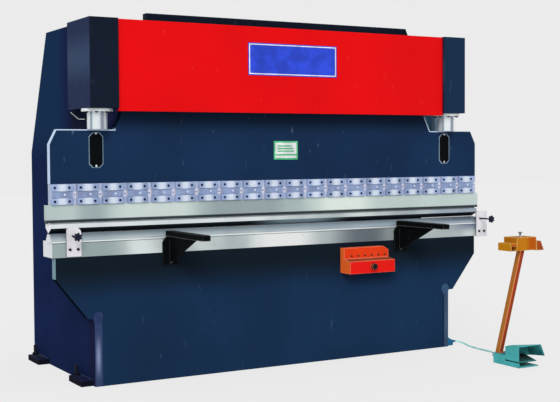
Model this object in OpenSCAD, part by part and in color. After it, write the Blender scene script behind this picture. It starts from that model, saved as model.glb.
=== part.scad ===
// Hydraulic press brake with C side frames, a moving ram over a fixed table,
// a row of intermediate tool clamps and a free standing foot pedal station.
// Millimetres. X runs along the table, the operator stands on the -Y side,
// Z is up. The floor is Z = 0. Y sizes inside the modules are counted from
// the front face of the bed.

/* [Frame] */
// width over the outer faces of the two side frames
frame_w = 3354; // [3100:1:3600]
// depth of the side frames from the front face of the bed
frame_d = 1495; // [1300:1:1800]
// height of the side frames
frame_h = 2757; // [2700:1:3000]
// thickness of the side frames
plate_t = 60; // [40:1:80]
// height where the rear edge of the side frames starts to lean forward
lean_z = 1771; // [1500:1:2000]
// depth of the side frames at the top
top_d = 1050; // [950:1:1250]
// depth of the throat behind the bed face
throat_d = 400; // [340:1:520]
// distance from the bed face to the front feet
foot_front = 50; // [46:1:200]
// spacing of the feet front to rear
foot_pitch = 1040; // [900:1:1200]
// how far the feet stand out from the side frames
foot_w = 95; // [80:1:110]
// length of the feet
foot_l = 280; // [250:1:300]
// thickness of the feet
foot_t = 45; // [30:1:60]
// diameter of the anchor holes in the feet
anchor_d = 28; // [22:1:34]
// diameter of the levelling bolts
level_d = 30; // [24:1:36]
// distance from the anchor holes back to the levelling bolts
level_in = 95; // [80:1:100]
// thickness of the tie beam at the rear
tie_t = 60; // [40:1:80]
// height of the tie beam at the rear
tie_h = 360; // [250:1:450]
// height of the tie beam above the floor
tie_z = 110; // [60:1:200]

/* [Bed and table] */
// length of the bed plate at its top
bed_l = 3950; // [3700:1:3960]
// thickness of the bed plate
bed_t = 80; // [60:1:100]
// height of the bed
bed_h = 990; // [900:1:1050]
// height where the ends of the bed start to slope in
bed_end_z = 829; // [760:1:870]
// height where the slope of the bed ends meets the side frames
bed_foot_z = 517; // [440:1:600]
// thickness of the top and the rear wall of the bed
wall_t = 60; // [40:1:70]
// height of the rear wall of the bed
wall_h = 560; // [400:1:600]
// thickness of the ribs in the bed
rib_t = 30; // [20:1:40]
// spacing of the ribs in the bed
rib_p = 620; // [500:1:700]
// radius of the round relief where the bed meets the side frames
relief_r = 46; // [38:1:46]
// length of the die rail
rail_l = 4000; // [3980:1:4060]
// depth of the die rail
rail_d = 206; // [190:1:240]
// height of the die rail
rail_h = 119; // [100:1:140]

/* [Tools] */
// distance from the bed face to the bending line
tool_y = 65; // [62:1:70]
// how far the die and the punch stand past each end of the die rail
tool_past = 5; // [0:1:6]
// width of the die at its foot
die_w = 116; // [100:1:118]
// height of the die
die_h = 56; // [48:1:70]
// opening of the die groove
vee_w = 16; // [10:1:24]
// gap between the punch and the die with the ram down
work_gap = 5; // [5:1:30]
// height of the punch
punch_h = 70; // [60:1:90]
// height of the punch holder with its shadow gap
holder_h = 140; // [120:1:170]
// length of the punch holder
holder_l = 4060; // [4020:1:4100]

/* [Clamps] */
// number of tool clamps
clamp_n = 20; // [10:1:20]
// height of the tool clamps
clamp_h = 155; // [140:1:180]
// diameter of the clamp screws
clamp_screw_d = 18; // [12:1:20]

/* [Ram] */
// length of the ram
ram_l = 4000; // [3900:1:4000]
// thickness of the ram
ram_t = 60; // [50:1:62]
// distance from the bed face back to the ram face
ram_in = 20; // [16:1:30]
// height of the ram at its ends, from the clamps to the shoulders
ram_end_h = 405; // [390:1:440]
// working stroke of the ram
stroke = 100; // [60:1:100]

/* [Hydraulics] */
// clearance between the shaft bearings and the oil tank above them
tank_gap = 28; // [10:1:60]
// wall of the oil tank
tank_t = 10; // [6:1:14]
// thickness of the lid of the oil tank
lid_t = 8; // [5:1:12]
// clear height above the lid of the oil tank
tank_in = 49; // [45:1:60]
// depth of the shelf that carries the pump
shelf_d = 240; // [220:1:300]
// diameter of the pump motor
motor_d = 220; // [180:1:230]
// length of the pump motor
motor_l = 330; // [280:1:360]
// diameter of the oil pipes
pipe_d = 24; // [20:1:28]
// diameter of the piston rods
rod_d = 152; // [130:1:160]
// bore of the cylinders
bore_d = 172; // [168:1:178]
// outer diameter of the cylinders
barrel_d = 200; // [196:1:202]
// distance from the bed face back to the axis of the piston rods
rod_in = -10; // [-14:1:10]
// diameter of the shaft that keeps the ram level
shaft_d = 66; // [56:1:76]
// diameter of the bearings of that shaft
bearing_d = 144; // [120:1:150]

/* [Covers] */
// length of the red front cover
cover_l = 3038; // [2900:1:3060]
// thickness of the cover sheets
sheet_t = 4; // [3:1:6]
// height of the top cover
cap_h = 73; // [50:1:100]
// distance from the ends of the front cover to the top cover
cap_in = 297; // [200:1:400]
// length of the name plate
plate_l = 830; // [600:1:900]
// height of the name plate
plate_h = 257; // [180:1:280]
// distance from the top of the front cover to the name plate
plate_in = 127; // [60:1:160]
// length of the sign plate
sign_l = 228; // [120:1:300]
// height of the sign plate
sign_h = 153; // [80:1:200]
// height of the sign plate above the clamps
sign_up = 165; // [60:1:200]

/* [Support arms] */
// place of the left support arm along the table
arm_left_x = -1056; // [-1200:1:-800]
// place of the right support arm along the table
arm_right_x = 1139; // [1100:1:1600]
// reach of the support arms in front of the bed
arm_reach = 655; // [400:1:700]
// width of the support arms
arm_w = 64; // [50:1:80]

/* [Back gauge] */
// distance of the gauge rails from the middle of the machine
gauge_x = 700; // [600:1:800]
// width of the gauge rails
gauge_w = 60; // [50:1:70]
// distance from the bed face to the rear end of the gauge rails
gauge_d = 1000; // [980:1:1100]
// distance from the bed face to the front of the gauge beam
beam_y = 580; // [560:1:600]
// depth of the gauge beam
beam_t = 60; // [50:1:70]
// height of the gauge beam
beam_h = 120; // [110:1:124]
// length of the gauge beam
beam_l = 3120; // [2400:1:3200]
// distance of the gauge fingers from the middle of the machine
finger_x = 400; // [300:1:500]
// width of the gauge fingers
finger_w = 56; // [40:1:70]
// diameter of the lead screws of the back gauge
lead_d = 24; // [20:1:30]

/* [Tool box] */
// left end of the tool box
box_x = 522; // [200:1:540]
// length of the tool box
box_l = 456; // [380:1:470]
// depth of the drawer part of the tool box
box_d = 155; // [130:1:200]

/* [Pedal station] */
// left side of the foot pedal
pedal_x = 1515; // [1500:1:1600]
// rear of the foot pedal in front of the bed face
pedal_y = -805; // [-900:1:-800]
// width of the foot pedal
base_w = 205; // [190:1:230]
// length of the foot pedal
base_d = 314; // [300:1:340]
// height of the bottom of the console on the post
console_z = 958; // [850:1:1050]
// width of the console
head_w = 204; // [190:1:220]
// depth of the console
head_d = 156; // [140:1:170]
// height of the console
head_h = 105; // [95:1:120]
// lean of the post towards the operator, degrees
post_lean = 16.5; // [5:0.5:18]
// width of the square post
post_w = 43; // [36:1:50]
// diameter of the pedal cable
cable_d = 14; // [12:1:16]

/* [Hidden] */
$fn = 48;
foot_in = foot_front + foot_l / 2;
front_y = -(foot_in + foot_pitch / 2);
side_x = frame_w / 2;
inner_x = side_x - plate_t;
mid_x = side_x - plate_t / 2;
foot_x = side_x + foot_w / 2;
relief_z = bed_foot_z + 13;
rail_z = bed_h;
rail_top = rail_z + rail_h;
groove_z = rail_top - 10;
die_top = rail_top + die_h;
tool_l = rail_l + 2 * tool_past;
tip_z = die_top + work_gap;
punch_top = tip_z + punch_h;
holder_top = punch_top + holder_h;
ram_z = holder_top + clamp_h;
shoulder_z = ram_z + ram_end_h;
ram_back = ram_in + ram_t;
ram_mid = ram_in + ram_t / 2;
guide_y = ram_back + 20;
rod_r = rod_d / 2;
rod_x = mid_x - 7;
gland_z = shoulder_z + stroke + 32;
barrel_z = gland_z + 22;
barrel_h = frame_h - barrel_z - 110;
housing_z = barrel_z + 2;
cover_z = housing_z - 21;
cover_y = -127;
housing_y = -150;
housing_x = rod_x + barrel_d / 2 + sheet_t + 1;
seat_y = rod_in + barrel_d / 2 + 25;
clamp_p = ram_l / clamp_n;
strip_w = clamp_p * 0.82;
window_z = shoulder_z - 156;
left_x = -rail_l / 2 + 108;
left_z = rail_z + 6;
left_holes = [25, 88];
right_x = rail_l / 2 - 15;
right_z = rail_z - 7;
right_holes = [32, 88];
pin_up = 215;
shaft_in = 245;
pull_down = 199;
pin_z = ram_z + pin_up;
shaft_z = pin_z + stroke / 2;
shaft_y = ram_back + shaft_in;
lug_x = inner_x - 117;
tank_top = frame_h - tank_in - lid_t;
tank_z = shaft_z + bearing_d / 2 + tank_gap;
tank_y = seat_y + 60;
tank_rear = top_d - 50;
pump_z = frame_h - 545;
pipe_r = pipe_d / 2;
pipe_y = top_d - 20;
pipe_left_x = -555;
pipe_right_x = -485;
valve_past = 85;
shelf_past = 60;
shaft_r = shaft_d / 2;
gauge_z = bed_h - 30;
screw_z = gauge_z + 18;
beam_z = gauge_z + 60;
cable_r = cable_d / 2;
shell_d = 145;
base_h = 84;
hinge_y = 9 - shell_d;
hinge_z = 60;
gland_x = 45;
plug_z = 56;
outlet_y = 24;
outlet_z = 38;
outlet_l = 54;
console_x = pedal_x + 56;
post_x = pedal_x + 50;
post_y = pedal_y - 14;
post_z = base_h + 4;
top_y = post_y - (console_z - post_z) * tan(post_lean);

// colours of the finished pieces
navy = [0.08, 0.14, 0.28];
red = [0.88, 0.07, 0.07];
steel = [0.75, 0.80, 0.82];
black = [0.05, 0.05, 0.06];
teal = [0.22, 0.65, 0.65];
amber = [0.76, 0.47, 0.08];

module at_front() translate([0, front_y, 0]) children();

module block(a, b) translate(a) cube(b - a);

module yz(x0, x1) translate([x0, 0, 0]) rotate([90, 0, 90]) linear_extrude(x1 - x0) children();

module xz(y0, y1) translate([0, y1, 0]) rotate([90, 0, 0]) linear_extrude(y1 - y0) children();

// bar of length l along X with the outline given as Y, Z points
module bar_x(l, pts) yz(-l / 2, l / 2) polygon(pts);

module both() {
  children();
  mirror([1, 0, 0]) children();
}

module rod_y(x, z, y0, y1, r) translate([x, y0, z]) rotate([-90, 0, 0]) cylinder(h = y1 - y0, r = r);

module rod_x(x0, x1, y, z, r) translate([x0, y, z]) rotate([0, 90, 0]) cylinder(h = x1 - x0, r = r);

module throat() {
  z0 = bed_h - 10;
  z1 = ram_z - 35;
  translate([-10, z0]) square([throat_d - 40, z1 - z0]);
  translate([throat_d - 60, z0 + 50]) square([60, z1 - z0 - 100]);
  translate([throat_d - 50, z0 + 50]) circle(r = 50);
  translate([throat_d - 50, z1 - 50]) circle(r = 50);
}

// one plate outline seen from the side, Y across and Z up
module side_outline() difference() {
  polygon([[0, 0], [frame_d, 0], [frame_d, lean_z], [top_d, frame_h], [seat_y, frame_h],
    [seat_y, shoulder_z - 20], [guide_y, shoulder_z - 20], [guide_y, bed_h - 10],
    [bed_t, bed_h - 10], [bed_t, bed_foot_z - 1], [0, bed_foot_z - 1]]);
  throat();
}

// side frame with the bore for the shaft and a round boss that fills the relief
module side_plate() {
  difference() {
    yz(inner_x, side_x) side_outline();
    rod_x(inner_x - 1, side_x + 1, shaft_y, shaft_z, shaft_r + 1);
  }
  rod_y(mid_x, relief_z, 6, bed_t + 1, relief_r - 1);
}

module side_frame_left() color(navy) at_front() mirror([1, 0, 0]) side_plate();

module side_frame_right() color(navy) at_front() side_plate();

module bed_plate() color(navy) at_front() difference() {
  xz(0, bed_t) polygon([[-bed_l / 2, bed_h], [bed_l / 2, bed_h], [bed_l / 2, bed_end_z],
    [side_x + 50, bed_foot_z], [inner_x, bed_foot_z], [inner_x, 0], [-inner_x, 0],
    [-inner_x, bed_foot_z], [-side_x - 50, bed_foot_z], [-bed_l / 2, bed_end_z]]);
  both() rod_y(mid_x, relief_z, -1, bed_t + 1, relief_r);
}

module bed_web() color(navy) at_front() {
  block([-inner_x, bed_t, bed_h - wall_t], [inner_x, rail_d, bed_h]);
  block([-inner_x, rail_d - wall_t, bed_h - wall_h], [inner_x, rail_d, bed_h - wall_t]);
  for (x = [-2 * rib_p:rib_p:2 * rib_p])
    block([x - rib_t / 2, bed_t, bed_h - wall_h], [x + rib_t / 2, rail_d - wall_t, bed_h - wall_t]);
}

module tie_beam() color(navy) at_front()
  block([-inner_x, frame_d - 60 - tie_t, tie_z], [inner_x, frame_d - 60, tie_z + tie_h]);

module floor_pads() color(navy) at_front() both()
  for (y = [foot_in, foot_in + foot_pitch])
    difference() {
      block([side_x, y - foot_l / 2, 0], [side_x + foot_w, y + foot_l / 2, foot_t]);
      translate([foot_x, y, -1]) cylinder(h = foot_t + 2, r = anchor_d / 2);
      translate([foot_x, y + level_in, -1]) cylinder(h = foot_t + 2, r = level_d / 2);
    }

module levelling_bolts() color(black) at_front() both()
  for (y = [foot_in + level_in, foot_in + foot_pitch + level_in])
    translate([foot_x, y, 0]) {
      cylinder(h = foot_t + 85, r = level_d / 2);
      translate([0, 0, foot_t]) cylinder(h = level_d * 0.7, r = level_d * 0.9, $fn = 6);
    }

module oil_tank() color(navy) at_front() {
  t = tank_t;
  difference() {
    block([-inner_x, tank_y, tank_z], [inner_x, tank_rear, tank_top]);
    block([-inner_x + t, tank_y + t, tank_z + t], [inner_x - t, tank_rear - t, tank_top + 1]);
  }
  block([pipe_left_x - valve_past - shelf_past, tank_rear, pump_z - 12],
    [motor_l + 80, tank_rear + shelf_d, pump_z]);
}

module tank_lid() color(navy) at_front()
  block([-inner_x, tank_y, tank_top], [inner_x, tank_rear, tank_top + lid_t]);

// motor with its fan cover, the coupling bell and the pump on one foot
module motor_pump() color([0.35, 0.38, 0.42]) at_front() {
  r = motor_d / 2;
  y = tank_rear + 125;
  z = pump_z + r + 15;
  rod_x(0, motor_l, y, z, r);
  rod_x(-20, 0, y, z, r + 15);
  rod_x(-110, -20, y, z, r - 30);
  rod_x(-290, -110, y, z, r - 42);
  rod_x(motor_l, motor_l + 42, y, z, r - 6);
  rod_x(-400, -280, y, z - 35, 14);
  block([20, y - 90, pump_z], [motor_l - 30, y + 90, z - 80]);
}

module valve_block() color(steel) at_front() difference() {
  x0 = pipe_left_x - valve_past;
  x1 = pipe_right_x + valve_past;
  union() {
    block([x0, tank_rear, pump_z], [x1, tank_rear + 160, pump_z + 130]);
    for (x = [x0 + 40, x1 - 40])
      translate([x, tank_rear + 110, pump_z + 130]) cylinder(h = 90, r = 24);
  }
  for (x = [pipe_left_x, pipe_right_x])
    translate([x, pipe_y, pump_z + 100]) cylinder(h = 31, r = pipe_r);
}

// one pressure pipe: up from the valve block, along the tank lid, forward
// over it and down into the top of a cylinder
module pipe_run(x0, x1) {
  z = frame_h - 28;
  z0 = pump_z + 100.2;
  z1 = barrel_z + barrel_h - 19.8;
  translate([x0, pipe_y, z0]) cylinder(h = z - z0, r = pipe_r);
  translate([x0, pipe_y, z]) sphere(r = pipe_r);
  rod_x(min(x0, x1), max(x0, x1), pipe_y, z, pipe_r);
  translate([x1, pipe_y, z]) sphere(r = pipe_r);
  rod_y(x1, z, rod_in, pipe_y, pipe_r);
  translate([x1, rod_in, z]) sphere(r = pipe_r);
  translate([x1, rod_in, z1]) cylinder(h = z - z1, r = pipe_r);
}

module oil_pipes() color(steel) at_front() {
  pipe_run(pipe_left_x, -inner_x + 50);
  pipe_run(pipe_right_x, inner_x - 50);
}

module cylinder_body() difference() {
  union() {
    translate([rod_x, rod_in, barrel_z]) cylinder(h = barrel_h, r = barrel_d / 2);
    block([inner_x - 60, rod_in, barrel_z + 40], [side_x + 40, seat_y, barrel_z + barrel_h - 60]);
  }
  translate([rod_x, rod_in, barrel_z - 1]) cylinder(h = barrel_h - 49, r = bore_d / 2);
  translate([inner_x - 50, rod_in, barrel_z + barrel_h - 20]) cylinder(h = 21, r = pipe_r);
  translate([inner_x - 50, rod_in, barrel_z + barrel_h - 60]) cylinder(h = 50, r = 7);
}

module cylinders() color(steel) at_front() both() cylinder_body();

module gland_rings() color(steel) at_front() both()
  translate([rod_x, rod_in, 0]) difference() {
    union() {
      translate([0, 0, gland_z]) cylinder(h = barrel_z - gland_z, r = rod_r + 42);
      translate([0, 0, barrel_z]) cylinder(h = 36, r = bore_d / 2);
    }
    translate([0, 0, gland_z - 1]) cylinder(h = 100, r = rod_r + 0.05);
    for (a = [22.5:45:337.5])
      rotate([0, 0, a]) translate([rod_r + 27, 0, gland_z - 1]) cylinder(h = 20, r = 7);
  }

module gland_bolts() color(steel) at_front() both()
  translate([rod_x, rod_in, 0])
    for (a = [22.5:45:337.5])
      rotate([0, 0, a]) translate([rod_r + 27, 0, gland_z - 10]) {
        cylinder(h = 10, r = 12, $fn = 6);
        translate([0, 0, 10]) cylinder(h = 18, r = 7);
      }

module housing_cover() {
  t = sheet_t;
  rear_y = throat_d - 63;
  top_z = frame_h + t;
  difference() {
    block([cover_l / 2, housing_y, housing_z], [housing_x, rear_y, top_z]);
    block([cover_l / 2 + t, housing_y + t, housing_z + t], [housing_x - t, rear_y - t, frame_h]);
    block([cover_l / 2 - 1, seat_y, housing_z - 1], [side_x, rear_y + 1, frame_h]);
    translate([rod_x, rod_in, housing_z - 1]) cylinder(h = t + 2, r = barrel_d / 2 + 1);
  }
}

module housing_covers() color(navy) at_front() both() housing_cover();

module front_cover() color(red) at_front() {
  t = sheet_t;
  block([-cover_l / 2, cover_y, cover_z], [cover_l / 2, cover_y + t, frame_h]);
  block([-cover_l / 2, cover_y + t, cover_z], [cover_l / 2, cover_y + 40, cover_z + t]);
}

module roof_plate() color(navy) at_front()
  block([-cover_l / 2, cover_y + sheet_t, frame_h - sheet_t], [cover_l / 2, throat_d + 20, frame_h]);

module top_cover() color([0.09, 0.13, 0.20]) at_front() difference() {
  l = cover_l / 2 - cap_in;
  y1 = ram_back + 10;
  xz(ram_in, y1) polygon([[-l, frame_h], [l + 33, frame_h], [l, frame_h + cap_h],
    [-l, frame_h + cap_h]]);
  xz(ram_in + 5, y1 - 5) polygon([[-l + 5, frame_h - 1], [l + 27, frame_h - 1],
    [l - 5, frame_h + cap_h - 5], [-l + 5, frame_h + cap_h - 5]]);
}

module name_plate() color([0.18, 0.29, 0.85]) at_front()
  translate([-plate_l / 2 - 5, cover_y - 3, frame_h - plate_in - plate_h]) cube([plate_l, 3, plate_h]);

module sign_plate() color([0.35, 0.78, 0.55]) at_front()
  translate([-sign_l / 2 + 5, ram_in - 2, ram_z + sign_up]) cube([sign_l, 2, sign_h]);

// ram and everything that rides on it
module ram_window() {
  x = mid_x;
  block([x - 48, ram_in - 1, window_z - 118], [x + 48, ram_in + ram_t * 0.6, window_z + 118]);
  block([x - 34, ram_in + 20, window_z - 110], [x + 34, ram_back + 1, window_z + 112]);
}

module ram_lug() {
  block([lug_x + 25, ram_back - 1, pin_z - 38], [lug_x + 50, ram_back + 80, pin_z + 38]);
  rod_x(lug_x - 24, lug_x + 40, ram_back + 50, pin_z, 14);
}

module ram() color(navy) at_front() {
  x1 = cover_l / 2 - 31;
  difference() {
    xz(ram_in, ram_back) polygon([[-ram_l / 2, ram_z], [ram_l / 2, ram_z],
      [ram_l / 2, shoulder_z - 111], [ram_l / 2 - 56, shoulder_z], [x1, shoulder_z],
      [x1 - 50, shoulder_z + 105], [x1 - 50, frame_h - 117], [-x1 + 50, frame_h - 117],
      [-x1 + 50, shoulder_z + 105], [-x1, shoulder_z], [-ram_l / 2 + 56, shoulder_z],
      [-ram_l / 2, shoulder_z - 111]]);
    both() {
      ram_window();
      translate([rod_x, ram_mid, shoulder_z - 30]) cylinder(h = 31, r = 14);
    }
  }
  both() ram_lug();
}

module piston_rods() color([0.85, 0.87, 0.88]) at_front() both()
  translate([rod_x, rod_in, 0]) {
    translate([0, ram_mid - rod_in, shoulder_z - 30]) cylinder(h = 31, r = 14);
    translate([0, 0, shoulder_z]) cylinder(h = barrel_z - shoulder_z + 90, r = rod_r);
    translate([0, 0, barrel_z + 90]) cylinder(h = 80, r = bore_d / 2 - 0.05);
  }

module guide_liners() color([0.72, 0.55, 0.25]) at_front() both()
  block([inner_x, ram_back + 0.3, ram_z + 30], [side_x, guide_y, shoulder_z - 25]);

module guide_keepers() color(steel) at_front() both() {
  y = ram_in + ram_t * 0.6 - 0.3;
  z0 = window_z + 2;
  z1 = window_z + 106;
  block([mid_x - 44, y - 16, z0], [mid_x + 44, y, z1]);
  block([mid_x - 28, y, z0], [mid_x + 28, ram_back + 0.3, z1]);
}

module window_covers() color(black) at_front() both()
  difference() {
    xz(ram_in - 6, ram_in) polygon([for (p = [[-57, -105], [-30, -133], [30, -133], [57, -105],
      [57, 105], [30, 133], [-30, 133], [-57, 105]]) [mid_x - 4 + p[0], window_z + p[1]]]);
    for (s = [-1, 1])
      rod_y(mid_x - 4, window_z + 5 + s * 122, ram_in - 7, ram_in + 1, 4);
  }

module window_screws() color(steel) at_front() both()
  for (s = [-1, 1]) {
    rod_y(mid_x - 4, window_z + 5 + s * 122, ram_in - 10, ram_in - 6, 8);
    rod_y(mid_x - 4, window_z + 5 + s * 122, ram_in - 6, ram_in, 4);
  }

module each_clamp()
  for (i = [0:clamp_n - 1])
    translate([-ram_l / 2 + clamp_p * i, 0, 0]) children();

module clamp_bodies() color([0.62, 0.67, 0.80]) at_front() each_clamp() difference() {
  block([2, ram_in - 6, holder_top], [clamp_p - 2, ram_back, ram_z]);
  block([1, ram_mid - 9, holder_top - 1], [clamp_p - 1, ram_mid + 9, holder_top + 30]);
}

module clamp_plates() color([0.80, 0.84, 0.94]) at_front() each_clamp() {
  block([5, ram_in - 18, ram_z - 54], [5 + strip_w, ram_in - 6, ram_z - 2]);
  block([5, ram_in - 18, holder_top + 2], [5 + strip_w, ram_in - 6, holder_top + 50]);
}

module clamp_wedges() color([0.55, 0.60, 0.75]) at_front() each_clamp() {
  x = 5 + strip_w * 0.62;
  block([5, ram_in - 11, holder_top + 53], [5 + strip_w, ram_in - 6, ram_z - 57]);
  rod_y(x, holder_top + 76, ram_in - 17, ram_in - 11, 9);
  rod_y(clamp_p - 18, holder_top + 76, ram_in - 12, ram_in - 6, 8);
}

module clamp_screw(x, z) difference() {
  rod_y(x, z, ram_in - 23, ram_in - 18, clamp_screw_d / 2);
  translate([x, ram_in - 24, z]) rotate([-90, 0, 0]) cylinder(h = 4, r = clamp_screw_d * 0.27, $fn = 6);
}

module upper_screws() color([0.22, 0.24, 0.36]) at_front() each_clamp() {
  clamp_screw(5 + strip_w * 0.14, ram_z - 27);
  clamp_screw(5 + strip_w * 0.82, ram_z - 27);
}

module lower_screws() color([0.22, 0.24, 0.36]) at_front() each_clamp() {
  clamp_screw(5 + strip_w * 0.14, holder_top + 26);
  clamp_screw(5 + strip_w * 0.82, holder_top + 26);
}

module punch_holder() color(steel) at_front() {
  block([-holder_l / 2, ram_in, punch_top + 10], [holder_l / 2, ram_back, holder_top]);
  block([-ram_l / 2 + 2, ram_mid - 7, holder_top], [ram_l / 2 - 2, ram_mid + 7, holder_top + 28]);
}

module punch() color(steel) at_front()
  bar_x(tool_l, [[tool_y - 62, punch_top], [tool_y - 62, punch_top - 32], [tool_y - 3, tip_z + 2],
    [tool_y - 1, tip_z], [tool_y + 1, tip_z], [tool_y + 3, tip_z + 2], [tool_y + 62, punch_top - 32],
    [tool_y + 62, punch_top], [ram_mid + 18, punch_top], [ram_mid + 18, punch_top + 10],
    [ram_mid - 18, punch_top + 10], [ram_mid - 18, punch_top]]);

module die_rail() color(steel) at_front()
  bar_x(rail_l, [[0, rail_z], [rail_d, rail_z], [rail_d, rail_top], [tool_y + 20, rail_top],
    [tool_y + 20, rail_top - 16], [tool_y - 20, rail_top - 16], [tool_y - 20, rail_top],
    [0, rail_top], [0, groove_z], [6, groove_z], [6, groove_z + 4], [14, groove_z + 4],
    [14, groove_z - 9], [6, groove_z - 9], [6, groove_z - 5], [0, groove_z - 5]]);

module die() color(steel) at_front() {
  w = die_w / 2;
  bar_x(tool_l, [[tool_y - 19.9, rail_top - 15], [tool_y + 19.9, rail_top - 15],
    [tool_y + 19.9, rail_top], [tool_y + w, rail_top], [tool_y + w, rail_top + 10],
    [tool_y + w * 0.42, die_top], [tool_y + vee_w / 2, die_top], [tool_y, die_top - vee_w * 0.6],
    [tool_y - vee_w / 2, die_top], [tool_y - w * 0.42, die_top], [tool_y - w, rail_top + 10],
    [tool_y - w, rail_top], [tool_y - 19.9, rail_top]]);
}

// sheet support arm with its mounting plate and gusset; the tongue behind the
// plate runs in the tee groove along the front of the die rail
module support_arm() {
  z1 = die_top - 7;
  z0 = z1 - 42;
  block([-arm_w / 2, -arm_reach, z0], [arm_w / 2, 3, z1]);
  block([-60, -6, groove_z - 4.7], [60, 6.3, groove_z - 0.3]);
  block([-60, 6.3, groove_z - 8.7], [60, 13.7, groove_z + 3.7]);
  xz(-12, -0.3) polygon([[-64, z0 - 225], [64, z0 - 225], [64, z0 - 45], [arm_w / 2, z0],
    [-arm_w / 2, z0], [-64, z0 - 45]]);
  yz(-6, 6) polygon([[-12, z0], [-arm_reach * 0.75, z0], [-12, z0 - 215]]);
}

module arm_left() color(black) at_front() translate([arm_left_x, 0, 0]) support_arm();

module arm_right() color(black) at_front() translate([arm_right_x, 0, 0]) support_arm();

// upright plate with rounded upper corners of the radii r0 and r1
module bracket_face(w, h, r0, r1) {
  r = max(r0, r1);
  square([w, h - r]);
  translate([r0, 0]) square([w - r0 - r1, h]);
  translate([r0, h - r0]) circle(r = r0);
  translate([w - r1, h - r1]) circle(r = r1);
  square([r0, h - r0]);
  translate([w - r1, 0]) square([r1, h - r1]);
}

module end_brackets() color([0.80, 0.82, 0.90]) at_front() {
  difference() {
    translate([left_x, 0, left_z]) xz(-12, 0) bracket_face(114, 217, 24, 46);
    rod_y(left_x + 47, die_top - 17, -13, 1, 7.05);
    for (x = left_holes)
      rod_y(left_x + x, left_z + 53, -13, 1, 6);
  }
  difference() {
    union() {
      translate([right_x, 0, right_z]) xz(-20, -8) bracket_face(122, 230, 22, 5);
      block([rail_l / 2, -8, right_z + 22], [rail_l / 2 + 90, tool_y - 25, rail_top - 4]);
      block([rail_l / 2 + 10, -8, right_z + 27], [rail_l / 2 + 90, tool_y - 5, right_z + 177]);
    }
    rod_y(right_x + 40, die_top - 17, -21, 10, 7.05);
    for (x = right_holes)
      rod_y(right_x + x, right_z + 49, -21, 10, 6);
  }
}

module bracket_screw(x, y, z) {
  difference() {
    rod_y(x, z, y - 8, y, 10);
    translate([x, y - 9, z]) rotate([-90, 0, 0]) cylinder(h = 5, r = 5, $fn = 6);
  }
  rod_y(x, z, y, y + 12, 6);
}

module bracket_screws() color(black) at_front() {
  for (x = left_holes)
    bracket_screw(left_x + x, -12, left_z + 53);
  for (x = right_holes)
    bracket_screw(right_x + x, -20, right_z + 49);
}

// star knob on a clamp screw that points at the tools
module star_knob(reach, tip) {
  rod_y(0, 0, -reach, tip, 7);
  difference() {
    union() {
      rod_y(0, 0, -reach - 26, -reach, 26);
      for (a = [0:360 / 7:359])
        rotate([0, a, 0]) rod_y(25, 0, -reach - 24, -reach - 4, 10);
    }
    rod_y(0, 0, -reach - 27, -reach - 20, 12);
  }
}

module knob_left() color(black) at_front()
  translate([left_x + 47, 0, die_top - 17]) star_knob(108, 17);

module knob_right() color(black) at_front()
  translate([right_x + 40, 0, die_top - 17]) star_knob(165, -9);

// tool box: an open tray above, a drawer shell below
module tool_box() color([0.90, 0.28, 0.08]) at_front() {
  x1 = box_x + box_l;
  z0 = bed_h - 255;
  zm = bed_h - 135;
  zt = bed_h - 42;
  difference() {
    xz(-60, 0) polygon([[box_x, zm], [x1, zm], [x1, zt - 32], [x1 - 48, zt], [box_x, zt]]);
    block([box_x + 4, -56, zm + 4], [x1 - 52, -4, zt + 1]);
    block([x1 - 53, -56, zm + 4], [x1 - 4, -4, zt - 36]);
    for (i = [0:5])
      translate([box_x + box_l * (0.155 + i * 0.15), -61, zm + 12]) cube([8, 6, 22]);
  }
  difference() {
    yz(box_x, x1) polygon([[0, z0], [0, zm], [-60, zm], [-box_d + 5.3, zm - 15], [-box_d + 5.3, z0]]);
    yz(box_x + 4, x1 - 4) polygon([[-6, z0 + 4], [-6, zm - 23], [-box_d, zm - 23], [-box_d, z0 + 4]]);
  }
}

module drawer() color(red) at_front() {
  x1 = box_x + box_l;
  z0 = bed_h - 250;
  z1 = bed_h - 164;
  block([box_x, -box_d, bed_h - 255], [x1, -box_d + 5, bed_h - 150.5]);
  difference() {
    block([box_x + 4.5, -box_d + 5, z0], [x1 - 4.5, -12, z1]);
    block([box_x + 8, -box_d + 8, z0 + 4], [x1 - 8, -16, z1 + 1]);
  }
  rod_y(box_x + box_l / 2, bed_h - pull_down, -box_d - 14, -box_d, 11);
  rod_y(box_x + box_l / 2, bed_h - pull_down, -box_d - 34, -box_d - 14, 28);
}

// shaft that keeps both ends of the ram level, with slotted arms
module shaft_arm() {
  r0 = shaft_y - ram_back - 50;
  rotate([atan(stroke / 2 / r0), 0, 0]) yz(lug_x - 20, lug_x + 20) difference() {
    union() {
      circle(r = 62);
      translate([-r0 - 33, -28]) square([r0 + 33, 56]);
    }
    translate([-r0 - 8, -15]) square([9, 30]);
    translate([-r0 + 1, 0]) circle(r = 15);
    translate([-r0 - 8, 0]) circle(r = 15);
  }
}

module torsion_shaft() color(steel) at_front() translate([0, shaft_y, shaft_z]) {
  translate([-inner_x - 40, 0, 0]) rotate([0, 90, 0]) cylinder(h = 2 * inner_x + 80, r = shaft_r);
  shaft_arm();
  mirror([1, 0, 0]) shaft_arm();
}

module shaft_bearings() color(steel) at_front() both() difference() {
  rod_x(inner_x - 36, inner_x, shaft_y, shaft_z, bearing_d / 2);
  rod_x(inner_x - 37, inner_x + 1, shaft_y, shaft_z, shaft_r + 0.05);
}

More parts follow.
